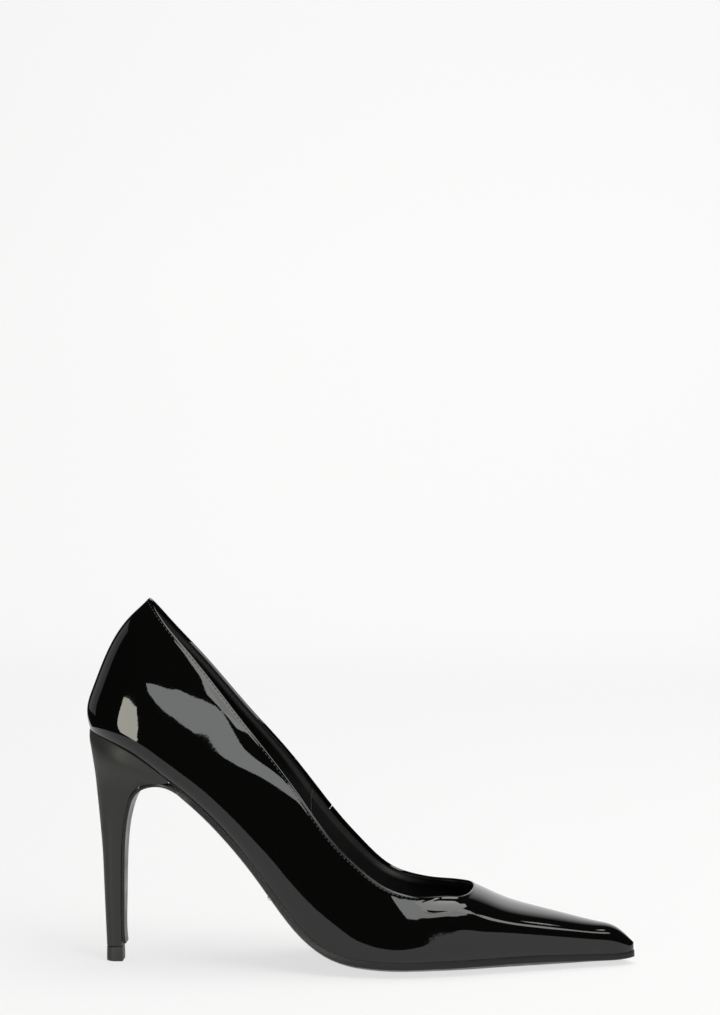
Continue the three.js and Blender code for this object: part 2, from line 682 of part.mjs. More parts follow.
// The heel before its seat is cut, `inset` from the cover and drawn out `extra` at the foot.
function heelBlank(inset, extra) {
  const seat = HEEL[0];
  const normal = bottomNormal(0);
  const lifted = ([x, z]) => [x + normal.x * SEAT_LIFT, z + normal.z * SEAT_LIFT];
  const back = lifted([seat.back[0] + 4, seat.back[1] - 2]);
  const inShoe = { back, breast: lifted(seat.breast), half: seat.half - 3 };
  const rings = [inShoe, ...HEEL].map((section) => heelRing(section, inset));
  const foot = rings[rings.length - 1];
  if (extra > 0) rings.push(foot.map(([x, y, z]) => [x, y, z - extra]));
  return loft(rings);
}

function seated(blank) {
  return blank.subtract(bodyAt(-SEAT_GAP));
}

const NAIL_DIAMETER = 1.8;
const NAILS = [
  { x: 6.5, y: -5.9, reach: 16 }, { x: 6.5, y: 5.9, reach: 16 },
  { x: 18, y: -6.6, reach: 5 }, { x: 18, y: 6.2, reach: 5 },
];
const SCREW_LENGTH = 24;

function heelPieces() {
  const bore = bar([-0.3, 0, 0], [-0.3, 0, TUBE_TOP + 1], TUBE_OUTER + 2 * GAP, 16);
  let core = seated(heelBlank(COVER_THICK + GAP, 0)).subtract(bore);
  core = core.subtract(bottomBar(SCREW_X, 0, -SCREW_LENGTH - 1, 4, 4 + 2 * GAP));
  for (const { x, y, reach } of NAILS) {
    core = core.subtract(bottomBar(x, y, -reach - 1, 4, NAIL_DIAMETER + 2 * GAP));
  }
  const cover = seated(heelBlank(0, 0)).subtract(heelBlank(COVER_THICK, 3));
  const tube = bar([-0.3, 0, TOP_PIECE_HEIGHT + GAP], [-0.3, 0, TUBE_TOP], TUBE_OUTER, 16)
    .subtract(bar([-0.3, 0, 0], [-0.3, 0, TUBE_TOP + 5], TUBE_BORE, 16));
  const head = bottomBar(SCREW_X, 0, INSOLE_TOP - 1.4, INSOLE_TOP - 0.2, 4);
  const screw = bottomBar(SCREW_X, 0, -SCREW_LENGTH, INSOLE_TOP - 0.2, 4).add(head);
  const nails = NAILS.map(({ x, y, reach }, i) => (
    meshOf("heel_nail_" + (i + 1), bottomBar(x, y, -reach, INSOLE_TOP - 0.2, NAIL_DIAMETER), STEEL)
  ));
  return [
    meshOf("heel_core", core, PLASTIC),
    meshOf("heel_cover", cover, COVER),
    meshOf("heel_tube", tube, STEEL),
    meshOf("heel_screw", screw, STEEL),
    ...nails,
  ];
}

// ---- replaceable heel tip ----

function topPieces() {
  const foot = { back: [-3.9, 0], breast: [3.8, 0], half: 4.3 };
  const neck = { back: [-3.8, TOP_PIECE_HEIGHT], breast: [3.6, TOP_PIECE_HEIGHT], half: 4.25 };
  const block = loft([heelRing(foot, 0), heelRing(neck, 0)]);
  const socket = bar([-0.3, 0, 2.4], [-0.3, 0, TOP_PIECE_HEIGHT + 1], DOWEL_DIAMETER + 2 * GAP);
  const dowel = bar([-0.3, 0, 2.4 + GAP], [-0.3, 0, DOWEL_TOP], DOWEL_DIAMETER);
  return [
    meshOf("top_piece", block.subtract(socket), RUBBER),
    meshOf("dowel_pin", dowel, BRASS),
  ];
}

// ---- the shoe ----

const shoe = new THREE.Group();
shoe.name = "pump";
shoe.add(
  ...upperPieces(),
  ...liningPieces(),
  heelGrip(),
  ...stiffeners(),
  ...insolePieces(),
  ...paddingPieces(),
  bottomFiller(),
  meshOf("outsole", outsoleSolid(), SOLE),
  soleStud(),
  ...heelPieces(),
  ...topPieces(),
);

export default shoe;
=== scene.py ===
"""The looks of a black patent stiletto pump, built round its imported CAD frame.

Lengths inside the shape tables are millimetres, as in the frame's own drawing, and MM turns them
into metres. +X points to the toe, +Y to the inner side of the foot, +Z up.
"""
import json
import math

import bmesh
import bpy
import numpy as np
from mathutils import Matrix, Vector


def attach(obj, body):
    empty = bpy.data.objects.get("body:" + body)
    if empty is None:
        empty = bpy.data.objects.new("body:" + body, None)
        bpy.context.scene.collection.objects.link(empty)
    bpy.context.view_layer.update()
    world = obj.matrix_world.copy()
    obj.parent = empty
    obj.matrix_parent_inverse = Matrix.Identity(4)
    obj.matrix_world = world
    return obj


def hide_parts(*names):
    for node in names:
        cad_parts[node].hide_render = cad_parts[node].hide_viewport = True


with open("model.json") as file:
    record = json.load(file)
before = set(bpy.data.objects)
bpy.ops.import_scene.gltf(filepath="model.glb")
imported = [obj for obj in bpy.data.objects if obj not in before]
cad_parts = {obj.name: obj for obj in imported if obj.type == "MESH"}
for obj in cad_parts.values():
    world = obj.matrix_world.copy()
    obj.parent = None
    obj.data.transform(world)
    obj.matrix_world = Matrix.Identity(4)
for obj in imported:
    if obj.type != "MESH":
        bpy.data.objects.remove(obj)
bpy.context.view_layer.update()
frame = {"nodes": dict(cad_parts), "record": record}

MM = 0.001
SCENE = bpy.context.scene

# ---- the camera: level, a little towards the toe from square on ----

CAMERA_DISTANCE = 0.950
CAMERA_YAW = math.radians(2.0)
AIM = Vector((0.1116, 0.0, 0.2063))
SENSOR_WIDTH = 36.0
FOCAL_LENGTH = 74.1


def make_camera():
    data = bpy.data.cameras.new("camera")
    data.sensor_width = SENSOR_WIDTH
    data.lens = FOCAL_LENGTH
    camera = bpy.data.objects.new("camera", data)
    SCENE.collection.objects.link(camera)
    back = Vector((math.sin(CAMERA_YAW), -math.cos(CAMERA_YAW), 0.0))
    camera.location = AIM + back * CAMERA_DISTANCE
    camera.rotation_mode = "QUATERNION"
    camera.rotation_quaternion = (-back).to_track_quat("-Z", "Y")
    SCENE.camera = camera


make_camera()


# ---- smooth curves ----

class Spline:
    """A natural cubic spline through values at rising places, for one or more columns."""

    def __init__(self, at, values):
        self.at = np.asarray(at, float)
        self.values = np.asarray(values, float).reshape(len(at), -1)
        count = len(self.at)
        gap = np.diff(self.at)
        matrix = np.eye(count)
        right = np.zeros_like(self.values)
        rise = np.diff(self.values, axis=0) / gap[:, None]
        for i in range(1, count - 1):
            matrix[i, i - 1] = gap[i - 1]
            matrix[i, i] = 2 * (gap[i - 1] + gap[i])
            matrix[i, i + 1] = gap[i]
            right[i] = 6 * (rise[i] - rise[i - 1])
        self.bend = np.linalg.solve(matrix, right)

    def __call__(self, x):
        x = np.clip(np.asarray(x, float), self.at[0], self.at[-1])
        i = np.clip(np.searchsorted(self.at, x, side="right") - 1, 0, len(self.at) - 2)
        gap = self.at[i + 1] - self.at[i]
        a = ((self.at[i + 1] - x) / gap)[..., None]
        b = ((x - self.at[i]) / gap)[..., None]
        curve = a * self.values[i] + b * self.values[i + 1]
        curve = curve + ((a**3 - a) * self.bend[i] + (b**3 - b) * self.bend[i + 1]) * gap[..., None]**2 / 6
        return curve[..., 0] if curve.shape[-1] == 1 else curve


def smoothstep(low, high, x):
    """0 below low, 1 above high, and a smooth rise between."""
    t = np.clip((np.asarray(x, float) - low) / (high - low), 0.0, 1.0)
    return t * t * (3 - 2 * t)


# ---- the outer surface of the upper, squarer towards the opening than the frame's own ----

BACK_X = -11.5
TOE_X = 235.5
BACK_ROUND = 30.0
TOE_ROUND = 10.0
ROUNDING = 2.5  # over 2, so that the curvature fades where the round end meets the sides

# The two sides of the shoe: 0 and 1 in the tables, below and above 0 in y.
OUTER, INNER = 0, 1
SIGN = (-1.0, 1.0)

# One row per place along the feather line: its x and height, the ridge's x and height, the half
# widths at the feather and the greatest half widths (outer side, inner side), how square the
# section's top is, and how far the middle of the bottom lies below its edges.
LAST = np.array([
    # x, z, ridge x, ridge z, feather outer, inner, widest outer, inner, crown, drop
    [-11.5, 106.0, 20.0, 171.0, 22.5, 22.5, 25.0, 25.0, 3.0, 0.8],
    [0.0, 102.0, 29.0, 163.5, 22.8, 22.8, 25.8, 25.8, 3.0, 1.2],
    [12.0, 95.8, 40.0, 151.5, 23.0, 22.5, 26.2, 26.2, 3.4, 1.5],
    [25.0, 86.4, 55.0, 133.0, 23.0, 21.0, 26.4, 26.2, 4.2, 1.8],
    [40.0, 74.3, 72.0, 112.0, 23.0, 18.8, 26.2, 25.6, 5.2, 2.0],
    [55.0, 59.4, 88.5, 90.5, 23.3, 18.3, 26.6, 25.4, 12.0, 2.0],
    [70.0, 41.5, 104.0, 73.0, 25.5, 20.5, 28.6, 27.0, 22.0, 2.0],
    [85.0, 22.5, 117.5, 60.5, 29.0, 26.0, 32.0, 30.0, 23.0, 2.3],
    [100.0, 11.2, 128.5, 52.0, 33.0, 31.0, 35.2, 34.0, 15.0, 3.0],
    [115.0, 7.8, 137.5, 44.0, 35.5, 33.5, 37.5, 36.6, 10.0, 3.7],
    [130.0, 7.1, 146.5, 37.6, 36.0, 34.0, 38.0, 37.0, 9.0, 3.8],
    [147.0, 7.1, 156.5, 36.0, 33.0, 32.0, 34.8, 34.2, 10.0, 3.7],
    [160.0, 7.1, 165.0, 34.3, 29.3, 28.8, 31.0, 30.2, 6.6, 3.6],
    [175.0, 7.2, 177.0, 28.9, 24.2, 24.8, 25.6, 26.2, 6.6, 3.4],
    [190.0, 7.1, 190.5, 25.0, 19.0, 20.4, 20.2, 21.6, 6.8, 3.1],
    [205.0, 6.6, 205.0, 21.7, 14.0, 16.2, 15.0, 17.2, 6.4, 2.2],
    [220.0, 6.0, 220.0, 18.5, 8.9, 11.8, 9.6, 12.6, 5.6, 1.2],
    [228.0, 5.8, 228.0, 16.2, 6.4, 9.2, 6.9, 9.9, 4.6, 0.8],
    [235.5, 6.2, 235.5, 9.6, 4.6, 7.4, 5.0, 8.0, 2.6, 0.4],
])
last_at = Spline(LAST[:, 0], LAST[:, 1:])
FEATHER_Z, RIDGE_X, RIDGE_Z, FEATHER_HALF, WIDEST_HALF, CROWN, DROP = 0, 1, 2, 3, 5, 7, 8

# The share of a section's height where its side has reached its full width, along the feather.
bulge_top = Spline(
    [-11.5, 25, 55, 75, 90, 110, 130, 165, 235.5],
    [0.14, 0.14, 0.19, 0.27, 0.29, 0.26, 0.25, 0.4, 0.42],
)

# How much each side leans in on its way up, in degrees.
side_lean = Spline(
    [-11.5, 40, 55, 70, 85, 100, 115, 130, 147, 160, 180, 235.5],
    [0, 1, 0.5, -0.6, -0.6, 1.4, 5, 9, 9, 5, 1.5, 0.5],
)

# How far the back bows out behind the straight line from feather to ridge.
back_bow = Spline([0, 0.06, 0.23, 0.47, 0.75, 0.9, 1.0], [0, 3.5, 6.9, 8.2, 5.6, 1.6, 0])
BOW_DIRECTION = np.array([-0.9, 0.0, 0.436])
BOW_REACH = 90.0

# The edge of the opening seen from the side, and how much higher its inner side runs.
TOPLINE = [
    (15.4, 165.6), (24.2, 154.4), (38.9, 138.0), (59.9, 111.7), (80.6, 86.0), (100.7, 59.1),
    (110.9, 49.4), (121.8, 41.0), (132.7, 36.4), (142.3, 34.5), (152.7, 34.0), (158.5, 33.9),
    (163.3, 34.95),
]
topline_at = Spline([p[0] for p in TOPLINE], [p[1] for p in TOPLINE])
inner_rise = Spline(
    [10, 30, 45, 66, 84, 100, 113, 126, 140, 165],
    [0, -0.2, 0.4, 2.8, 4.2, 4.2, 1.6, -0.8, -0.6, 0],
)

BOTTOM_FLATNESS = 4  # how flat the bottom stays across the middle before it rises to its edges
LEAST_HALF = 0.35  # an inner layer keeps at least this share of the outer half width
MOST_SINK = 0.45  # and sinks by at most this share of the section's height
LOWEST_OPENING = 0.3  # the topline cuts every section above this share of its height
HALVINGS = 40


def end_rounding(x, depth=0.0):
    """How much of its width a section keeps where the back or the toe rounds off."""
    from_back = np.clip((x - BACK_X - depth) / (BACK_ROUND - depth), 0, 1)
    from_toe = np.clip((TOE_X - depth - x) / max(TOE_ROUND - depth / 2, 1), 0, 1)
    back = np.sqrt(1 - (1 - from_back)**ROUNDING)
    toe = np.sqrt(1 - (1 - from_toe)**ROUNDING)
    return back * toe


def bottom_normal(x):
    """Unit vectors square to the bottom, pointing into the shoe."""
    rise = (last_at(x + 1)[..., FEATHER_Z] - last_at(x - 1)[..., FEATHER_Z]) / 2
    length = np.sqrt(1 + rise**2)
    return np.stack([-rise / length, np.zeros_like(rise), 1 / length], -1)


def bottom_point(x, y, height):
    """Points of the bottom, y across the shoe and `height` inside the outer surface."""
    x, y, height = np.broadcast_arrays(*(np.asarray(v, float) for v in (x, y, height)))
    row = last_at(x)
    half = np.where(y < 0, row[..., FEATHER_HALF], row[..., FEATHER_HALF + 1]) * end_rounding(x)
    share = np.clip(np.abs(y) / np.maximum(half, 1e-6), 0, 1)
    lift = height - row[..., DROP] * (1 - share**BOTTOM_FLATNESS)
    place = np.stack([x, y, row[..., FEATHER_Z]], -1)
    return place + bottom_normal(x) * lift[..., None]


def side_points(x, s, side, depth=0.0):
    """Points of one side of the surface at `depth`: x along the feather, s from it to the ridge."""
    x, s = np.broadcast_arrays(np.asarray(x, float), np.asarray(s, float))
    row = last_at(x)
    keep = end_rounding(x, depth)

    def inset(half):
        return np.maximum(half - depth, LEAST_HALF * half) * keep

    at_feather = inset(row[..., FEATHER_HALF + side])
    widest = inset(row[..., WIDEST_HALF + side])
    feather = bottom_point(x, SIGN[side] * at_feather, depth)
    feather[..., 1] = 0
    ridge = np.stack([row[..., RIDGE_X], np.zeros_like(x), row[..., RIDGE_Z]], -1)
    foot = np.stack([x, np.zeros_like(x), row[..., FEATHER_Z]], -1)
    rise = ridge - foot
    length = np.linalg.norm(rise, axis=-1, keepdims=True)
    ridge = ridge - rise / length * np.minimum(depth, MOST_SINK * length)
    place = feather + (ridge - feather) * s[..., None]
    bow = np.clip(1 - (x - BACK_X) / BOW_REACH, 0, 1)**3 * back_bow(s)
    place = place + BOW_DIRECTION * bow[..., None]
    pinch = np.clip(1 - s / bulge_top(x), 0, 1)**3
    lean = np.tan(np.radians(side_lean(x))) * length[..., 0] * s * keep
    roof = np.sqrt(np.clip(1 - s**row[..., CROWN], 0, 1))
    half = (widest - (widest - at_feather) * pinch - lean) * roof
    place[..., 1] = SIGN[side] * half
    return place


def opening_share(x, side):
    """For each section, the share of its height where the topline cuts it, or 1 in front of it."""
    x = np.asarray(x, float)

    def over(s):
        place = side_points(x, s, side)
        return place[..., 2] - topline_at(place[..., 0]) - side * inner_rise(place[..., 0])

    low = np.full_like(x, LOWEST_OPENING)
    high = np.ones_like(x)
    closed = (over(high) <= 0) | (side_points(x, 1.0, side)[..., 0] > TOPLINE[-1][0])
    for _ in range(HALVINGS):
        middle = (low + high) / 2
        above = over(middle) > 0
        high = np.where(above, middle, high)
        low = np.where(above, low, middle)
    return np.where(closed, 1.0, high)


def throat_place():
    """The place along the feather whose section meets the front end of the opening."""
    places = np.linspace(120, 185, 2601)
    shares = opening_share(places, OUTER)
    return places[np.argmax(shares >= 1.0)]


def spread(share, halves):
    """Places across the shoe: share runs from -1 at the outer edge to 1 at the inner one."""
    return np.where(share < 0, share * halves[OUTER], share * halves[INNER])


def cosine(count, first, last):
    """Places from first to last, closer together at both ends."""
    t = (1 - np.cos(np.linspace(0, math.pi, count))) / 2
    return first + (last - first) * t


# ---- meshes ----

def link(obj):
    SCENE.collection.objects.link(obj)
    return obj


def mesh_object(name, points, faces, smooth=True):
    """An object of points in millimetres and their faces."""
    mesh = bpy.data.meshes.new(name)
    mesh.from_pydata((np.asarray(points, float) * MM).tolist(), [], faces)
    mesh.validate()
    for polygon in mesh.polygons:
        polygon.use_smooth = smooth
    return link(bpy.data.objects.new(name, mesh))


def grid_faces(rows, columns, closed=False, flip=False, first=0):
    """Quads of a grid whose points run along its columns first."""
    faces = []
    for r in range(rows - 1):
        for c in range(columns if closed else columns - 1):
            d = (c + 1) % columns
            quad = [r * columns + c, r * columns + d, (r + 1) * columns + d, (r + 1) * columns + c]
            quad = [first + i for i in quad]
            faces.append(quad[::-1] if flip else quad)
    return faces


def grid_object(name, grid, flip):
    """An object of one grid of points."""
    rows, columns = grid.shape[:2]
    return mesh_object(name, grid.reshape(-1, 3), grid_faces(rows, columns, flip=flip))


def tube_faces(rings, count):
    """Faces of a closed tube of rings of count points each, with both its ends."""
    faces = grid_faces(rings, count, closed=True)
    faces.append(list(range(count))[::-1])
    faces.append([(rings - 1) * count + i for i in range(count)])
    return faces


def edit(obj, work):
    """Runs work(bm) on an object's mesh."""
    bm = bmesh.new()
    bm.from_mesh(obj.data)
    work(bm)
    bm.to_mesh(obj.data)
    bm.free()


def weld(obj, distance=0.02):
    """Joins points closer than distance, in millimetres."""
    def work(bm):
        bmesh.ops.remove_doubles(bm, verts=bm.verts, dist=distance * MM)
        bmesh.ops.dissolve_degenerate(bm, edges=bm.edges, dist=1e-7)
    edit(obj, work)


def cut_off(obj, point, normal):
    """Removes what lies on the side of a plane that its normal points to. Point in millimetres."""
    def work(bm):
        geometry = bm.verts[:] + bm.edges[:] + bm.faces[:]
        bmesh.ops.bisect_plane(
            bm, geom=geometry, dist=1e-7, plane_co=Vector(point) * MM, plane_no=Vector(normal),
            clear_outer=True, clear_inner=False,
        )
    edit(obj, work)


def face_out(obj):
    """Turns all faces outwards."""
    edit(obj, lambda bm: bmesh.ops.recalc_face_normals(bm, faces=bm.faces))


def thicken(obj, thickness, edge, segments=3):
    """Gives a sheet its thickness in millimetres, inwards, and rounds the edges that this makes."""
    solid = obj.modifiers.new("thickness", "SOLIDIFY")
    solid.thickness = thickness * MM
    solid.offset = -1.0
    solid.use_even_offset = False
    soften(obj, edge, segments)


def soften(obj, width, segments=3, angle=40.0):
    """Rounds the edges that turn by more than angle, width in millimetres."""
    bevel = obj.modifiers.new("soft_edges", "BEVEL")
    bevel.width = width * MM
    bevel.segments = segments
    bevel.limit_method = "ANGLE"
    bevel.angle_limit = math.radians(angle)
    bevel.use_clamp_overlap = True
    bevel.harden_normals = False


# ---- upper ----

REAR_COLUMNS = 130
FRONT_COLUMNS = 92
ROWS = 72
UPPER_THICK = 1.0
UPPER_EDGE = 0.34
SEAM_TOP = (97.0, 66.0)
SEAM_FOOT = (72.0, 36.0)
SEAM_GAP = 0.35
STITCH_BELOW = 1.35

# The rim along the front of the opening, the turned edge and the groove under the stitches.
RIM_FADE_IN = (112, 148)
RIM_HEIGHT = 0.32
RIM_WIDTH = (0.6, 2.2)
TURN_DEPTH = 0.22
TURN_WIDTH = 0.7
GROOVE_DEPTH = 0.03
GROOVE_WIDTH = 0.3


def columns_of(depth):
    """The places along the feather where a side's grid has its columns."""
    throat = throat_place()
    rear = cosine(REAR_COLUMNS, BACK_X + depth, throat)
    front = cosine(FRONT_COLUMNS, throat, TOE_X - depth)[1:]
    return np.concatenate([rear, front])


def side_sheet(side, depth=0.0, below=0.0):
    """The grid of one side from feather to topline or ridge, as (columns, rows, 3) in millimetres.

    Also each point's distance from the grid's upper edge, and each column's share of its section.
    """
    columns = columns_of(depth)
    top = opening_share(columns, side)
    ridge = np.linalg.norm(side_points(columns, 1.0, side) - side_points(columns, 0.0, side), axis=-1)
    top = np.where(top < 1, top - below / ridge, 1.0)
    rows = cosine(ROWS, 0, 1)
    grid = side_points(columns[:, None], top[:, None] * rows[None, :], side, depth)
    steps = np.linalg.norm(np.diff(grid, axis=1), axis=-1)
    run = np.cumsum(steps[:, ::-1], axis=1)[:, ::-1]
    from_top = np.concatenate([run, np.zeros((len(columns), 1))], 1)
    return grid, from_top, top


def grid_normals(grid):
    """Unit vectors square to a grid at its points."""
    along = np.gradient(grid, axis=0)
    up = np.gradient(grid, axis=1)
    normal = np.cross(along, up)
    return normal / np.maximum(np.linalg.norm(normal, axis=-1, keepdims=True), 1e-9)


def edge_distance(grid, top):
    """How far each point of a side's grid lies from the edge of the opening."""
    edge = grid[top < 1.0, -1]
    starts, steps = edge[:-1], np.diff(edge, axis=0)
    lengths = np.maximum((steps**2).sum(axis=1), 1e-9)
    nearest = np.full(grid.shape[:2], np.inf)
    for start, step, length in zip(starts, steps, lengths):
        away = grid - start
        share = np.clip(away @ step / length, 0, 1)
        nearest = np.minimum(nearest, np.linalg.norm(away - share[..., None] * step, axis=-1))
    return nearest


def sheet_object(name, side, depth, below, relief):
    """One side of the surface as an object, raised outwards by relief(distance to the edge, x)."""
    grid, _, top = side_sheet(side, depth, below)
    normal = grid_normals(grid) * (1.0 if side == OUTER else -1.0)
    normal[top >= 1.0, -1, 1] = 0
    grid = grid + normal * relief(edge_distance(grid, top), grid[..., 0])[..., None]
    return grid_object(name, grid, side == OUTER)


def join(name, parts):
    """One smooth object of several, which it takes the place of."""
    bm = bmesh.new()
    for part in parts:
        bm.from_mesh(part.data)
    mesh = bpy.data.meshes.new(name)
    bm.to_mesh(mesh)
    bm.free()
    for part in parts:
        data = part.data
        bpy.data.objects.remove(part)
        bpy.data.meshes.remove(data)
    for polygon in mesh.polygons:
        polygon.use_smooth = True
    return link(bpy.data.objects.new(name, mesh))


def edge_relief(distance, x):
    """How far the upper stands out near the edge of the opening: a low rim at the throat, the
    turned edge sinking in, and the shallow groove that the stitch row pulls."""
    rim = RIM_HEIGHT * smoothstep(*RIM_FADE_IN, x) * (1 - smoothstep(*RIM_WIDTH, distance))
    turned = -TURN_DEPTH * np.clip(1 - distance / TURN_WIDTH, 0, 1)**2
    groove = -GROOVE_DEPTH * np.exp(-((distance - STITCH_BELOW) / GROOVE_WIDTH)**2)
    return rim + turned + groove


def seam_plane():
    """A point of the side seam, and the direction square to it, towards the toe."""
    along = np.array([SEAM_TOP[0] - SEAM_FOOT[0], 0.0, SEAM_TOP[1] - SEAM_FOOT[1]])
    along = along / np.linalg.norm(along)
    forward = np.array([along[2], 0.0, -along[0]])
    return (SEAM_FOOT[0], 0.0, SEAM_FOOT[1]), forward


def make_upper():
    """The vamp, which runs round the outer side to the back, and the inner quarter."""
    outer_half = sheet_object("outer_half", OUTER, 0.0, 0.0, edge_relief)
    inner_front = sheet_object("inner_front", INNER, 0.0, 0.0, edge_relief)
    quarter = sheet_object("upper_inner_quarter_patent", INNER, 0.0, 0.0, edge_relief)
    point, forward = seam_plane()
    cut_off(inner_front, point, -forward)
    cut_off(quarter, np.array(point) - forward * SEAM_GAP, forward)
    vamp = join("upper_vamp_patent", [outer_half, inner_front])
    for piece in (vamp, quarter):
        weld(piece)
        thicken(piece, UPPER_THICK, UPPER_EDGE)
    return vamp, quarter


# ---- lining ----

LINING_DEPTH = 2.65
LINING_BELOW = 0.35
LINING_THICK = 0.6
LINING_SPLIT_X = 88.0
LINING_GAP = 0.3
ROLL_HEIGHT = 1.62
ROLL_WIDTH = (0.3, 2.6)
ROLL_AT_THROAT = 0.3
ROLL_WIDTH_AT_THROAT = (0.3, 2.0)
GRIP_DEPTH = 3.6
GRIP_BELOW = 3.2
GRIP_THICK = 0.7
GRIP_RISE = 0.35
GRIP_RISE_WIDTH = 1.2
GRIP_FRONT = ((41.0, 0, 112.0), (0.93, 0, 0.36))
GRIP_FOOT = ((0.0, 0, 112.0), (-0.41, 0, -0.91))


def lining_roll(distance, x):
    """How far the lining comes out to meet the upper along the edge of the opening."""
    roll = ROLL_HEIGHT * (1 - smoothstep(*ROLL_WIDTH, distance))
    fade = 1 - smoothstep(*ROLL_WIDTH_AT_THROAT, distance)
    return roll + ROLL_AT_THROAT * smoothstep(*RIM_FADE_IN, x) * fade


def grip_rise(distance, x):
    """How far the heel grip comes out along its upper edge."""
    return GRIP_RISE * (1 - smoothstep(0, GRIP_RISE_WIDTH, distance))


def two_sided_sheet(name, depth, below, relief):
    """A sheet at `depth` round both sides of the shoe, from `below` the edge of the opening."""
    halves = [sheet_object(f"{name}_{side}", side, depth, below, relief) for side in (OUTER, INNER)]
    sheet = join(name, halves)
    weld(sheet)
    return sheet


def make_linings():
    """The vamp lining, and the quarter lining behind it."""
    front = two_sided_sheet("lining", LINING_DEPTH, LINING_BELOW, lining_roll)
    front.name = "vamp_lining_leather"
    back = link(bpy.data.objects.new("quarter_lining_leather", front.data.copy()))
    cut_off(front, (LINING_SPLIT_X + LINING_GAP / 2, 0, 0), (-1, 0, 0))
    cut_off(back, (LINING_SPLIT_X - LINING_GAP / 2, 0, 0), (1, 0, 0))
    for piece in (front, back):
        thicken(piece, LINING_THICK, 0.25)
    return front, back


def make_heel_grip():
    grip = two_sided_sheet("heel_grip_leather", GRIP_DEPTH, GRIP_BELOW, grip_rise)
    for point, normal in (GRIP_FRONT, GRIP_FOOT):
        cut_off(grip, point, normal)
    thicken(grip, GRIP_THICK, 0.3)
    return grip


# ---- layers between upper and lining ----

HIDDEN_DEPTH = 1.35
HIDDEN_THICK = 0.7
HIDDEN_COLUMNS = 70
HIDDEN_ROWS = 18
COUNTER_FRONT_X = 62.0
COUNTER_BELOW = 16.0
PUFF_BACK_X = 188.0
TAPE_BELOW = 2.6
TAPE_WIDTH = 8.0


def hidden_sheet(name, first, last, from_edge, height=None, low=0.02):
    """A stiff layer under the upper between two places along the shoe, as an object.

    It starts from_edge below the opening. It reaches down to the share `low` of the section, or
    `height` below its own upper edge.
    """
    halves = []
    for side in (OUTER, INNER):
        columns = cosine(HIDDEN_COLUMNS, first, last)
        foot = side_points(columns, 0.0, side)
        length = np.linalg.norm(side_points(columns, 1.0, side) - foot, axis=-1)
        top = opening_share(columns, side)
        top = np.where(top < 1, top - from_edge / length, 1.0)
        bottom = np.full_like(top, low) if height is None else top - height / length
        rows = np.linspace(0, 1, HIDDEN_ROWS)
        share = bottom[:, None] + (top - bottom)[:, None] * rows[None, :]
        grid = side_points(columns[:, None], share, side, HIDDEN_DEPTH)
        halves.append(grid_object(f"{name}_{side}", grid, side == OUTER))
    layer = join(name, halves)
    weld(layer)
    thicken(layer, HIDDEN_THICK, 0.15, 2)
    return layer


def make_hidden_layers():
    back = BACK_X + HIDDEN_DEPTH
    counter = hidden_sheet("heel_counter_board", back, COUNTER_FRONT_X, COUNTER_BELOW)
    puff = hidden_sheet("toe_puff_board", PUFF_BACK_X, TOE_X - HIDDEN_DEPTH, 0.0)
    tape = hidden_sheet("topline_tape_cloth", back, throat_place() - 0.5, TAPE_BELOW, height=TAPE_WIDTH)
    return counter, puff, tape


# ---- stitching ----

STITCH_PITCH = 2.05
STITCH_LENGTH = 1.5
STITCH_WIDTH = 0.42
STITCH_FLATNESS = 0.42  # half the thread's height, as a share of its width
STITCH_DIP = 0.22
STITCH_RINGS = 5
STITCH_SIDES = 8
LOOK_AHEAD = 0.4  # how far on the row is looked at for a stitch's direction


def stitch_points(place, along, out):
    """The rings of one stitch, whose ends taper and dip into the leather."""
    across = np.cross(out, along)
    points = []
    for r in range(STITCH_RINGS + 1):
        t = r / STITCH_RINGS * math.pi
        reach = -math.cos(t) * STITCH_LENGTH / 2
        girth = math.sin(t)**0.6 if 0 < r < STITCH_RINGS else 0.0
        dip = -STITCH_DIP * (2 * reach / STITCH_LENGTH)**4
        for k in range(STITCH_SIDES):
            angle = 2 * math.pi * k / STITCH_SIDES
            rise = dip + math.sin(angle) * girth * STITCH_WIDTH * STITCH_FLATNESS
            aside = across * math.cos(angle) * girth * STITCH_WIDTH / 2
            points.append(place + along * reach + out * rise + aside)
    return points


def stitch_row(name, path, normals):
    """A row of thread stitches along a path on a surface, as one object."""
    steps = np.linalg.norm(np.diff(path, axis=0), axis=1)
    run = np.concatenate([[0], np.cumsum(steps)])

    def along_row(rows, distance):
        return np.array([np.interp(distance, run, rows[:, k]) for k in range(3)])

    count = int(run[-1] / STITCH_PITCH)
    points, faces = [], []
    for i in range(count):
        centre = (i + 0.5) * run[-1] / count
        place = along_row(path, centre)
        along = along_row(path, centre + LOOK_AHEAD) - place
        along = along / max(np.linalg.norm(along), 1e-9)
        out = along_row(normals, centre)
        out = out - along * out.dot(along)
        out = out / max(np.linalg.norm(out), 1e-9)
        faces += grid_faces(STITCH_RINGS + 1, STITCH_SIDES, closed=True, first=len(points))
        points += stitch_points(place, along, out)
    obj = mesh_object(name, points, faces)
    weld(obj, 0.001)
    face_out(obj)
    return obj


def topline_stitches():
    """The stitch row along the opening, on both sides."""
    parts = []
    for side in (OUTER, INNER):
        grid, from_top, top = side_sheet(side)
        normal = grid_normals(grid) * (1.0 if side == OUTER else -1.0)
        path, out = [], []
        for c in np.nonzero(top < 1.0)[0]:
            order = from_top[c][::-1]
            if order[-1] < STITCH_BELOW:
                continue
            path.append([np.interp(STITCH_BELOW, order, grid[c][::-1, k]) for k in range(3)])
            out.append([np.interp(STITCH_BELOW, order, normal[c][::-1, k]) for k in range(3)])
        parts.append(stitch_row(f"stitches_{side}", np.array(path), np.array(out)))
    return join("topline_stitching", parts)


# ---- sock and pads ----

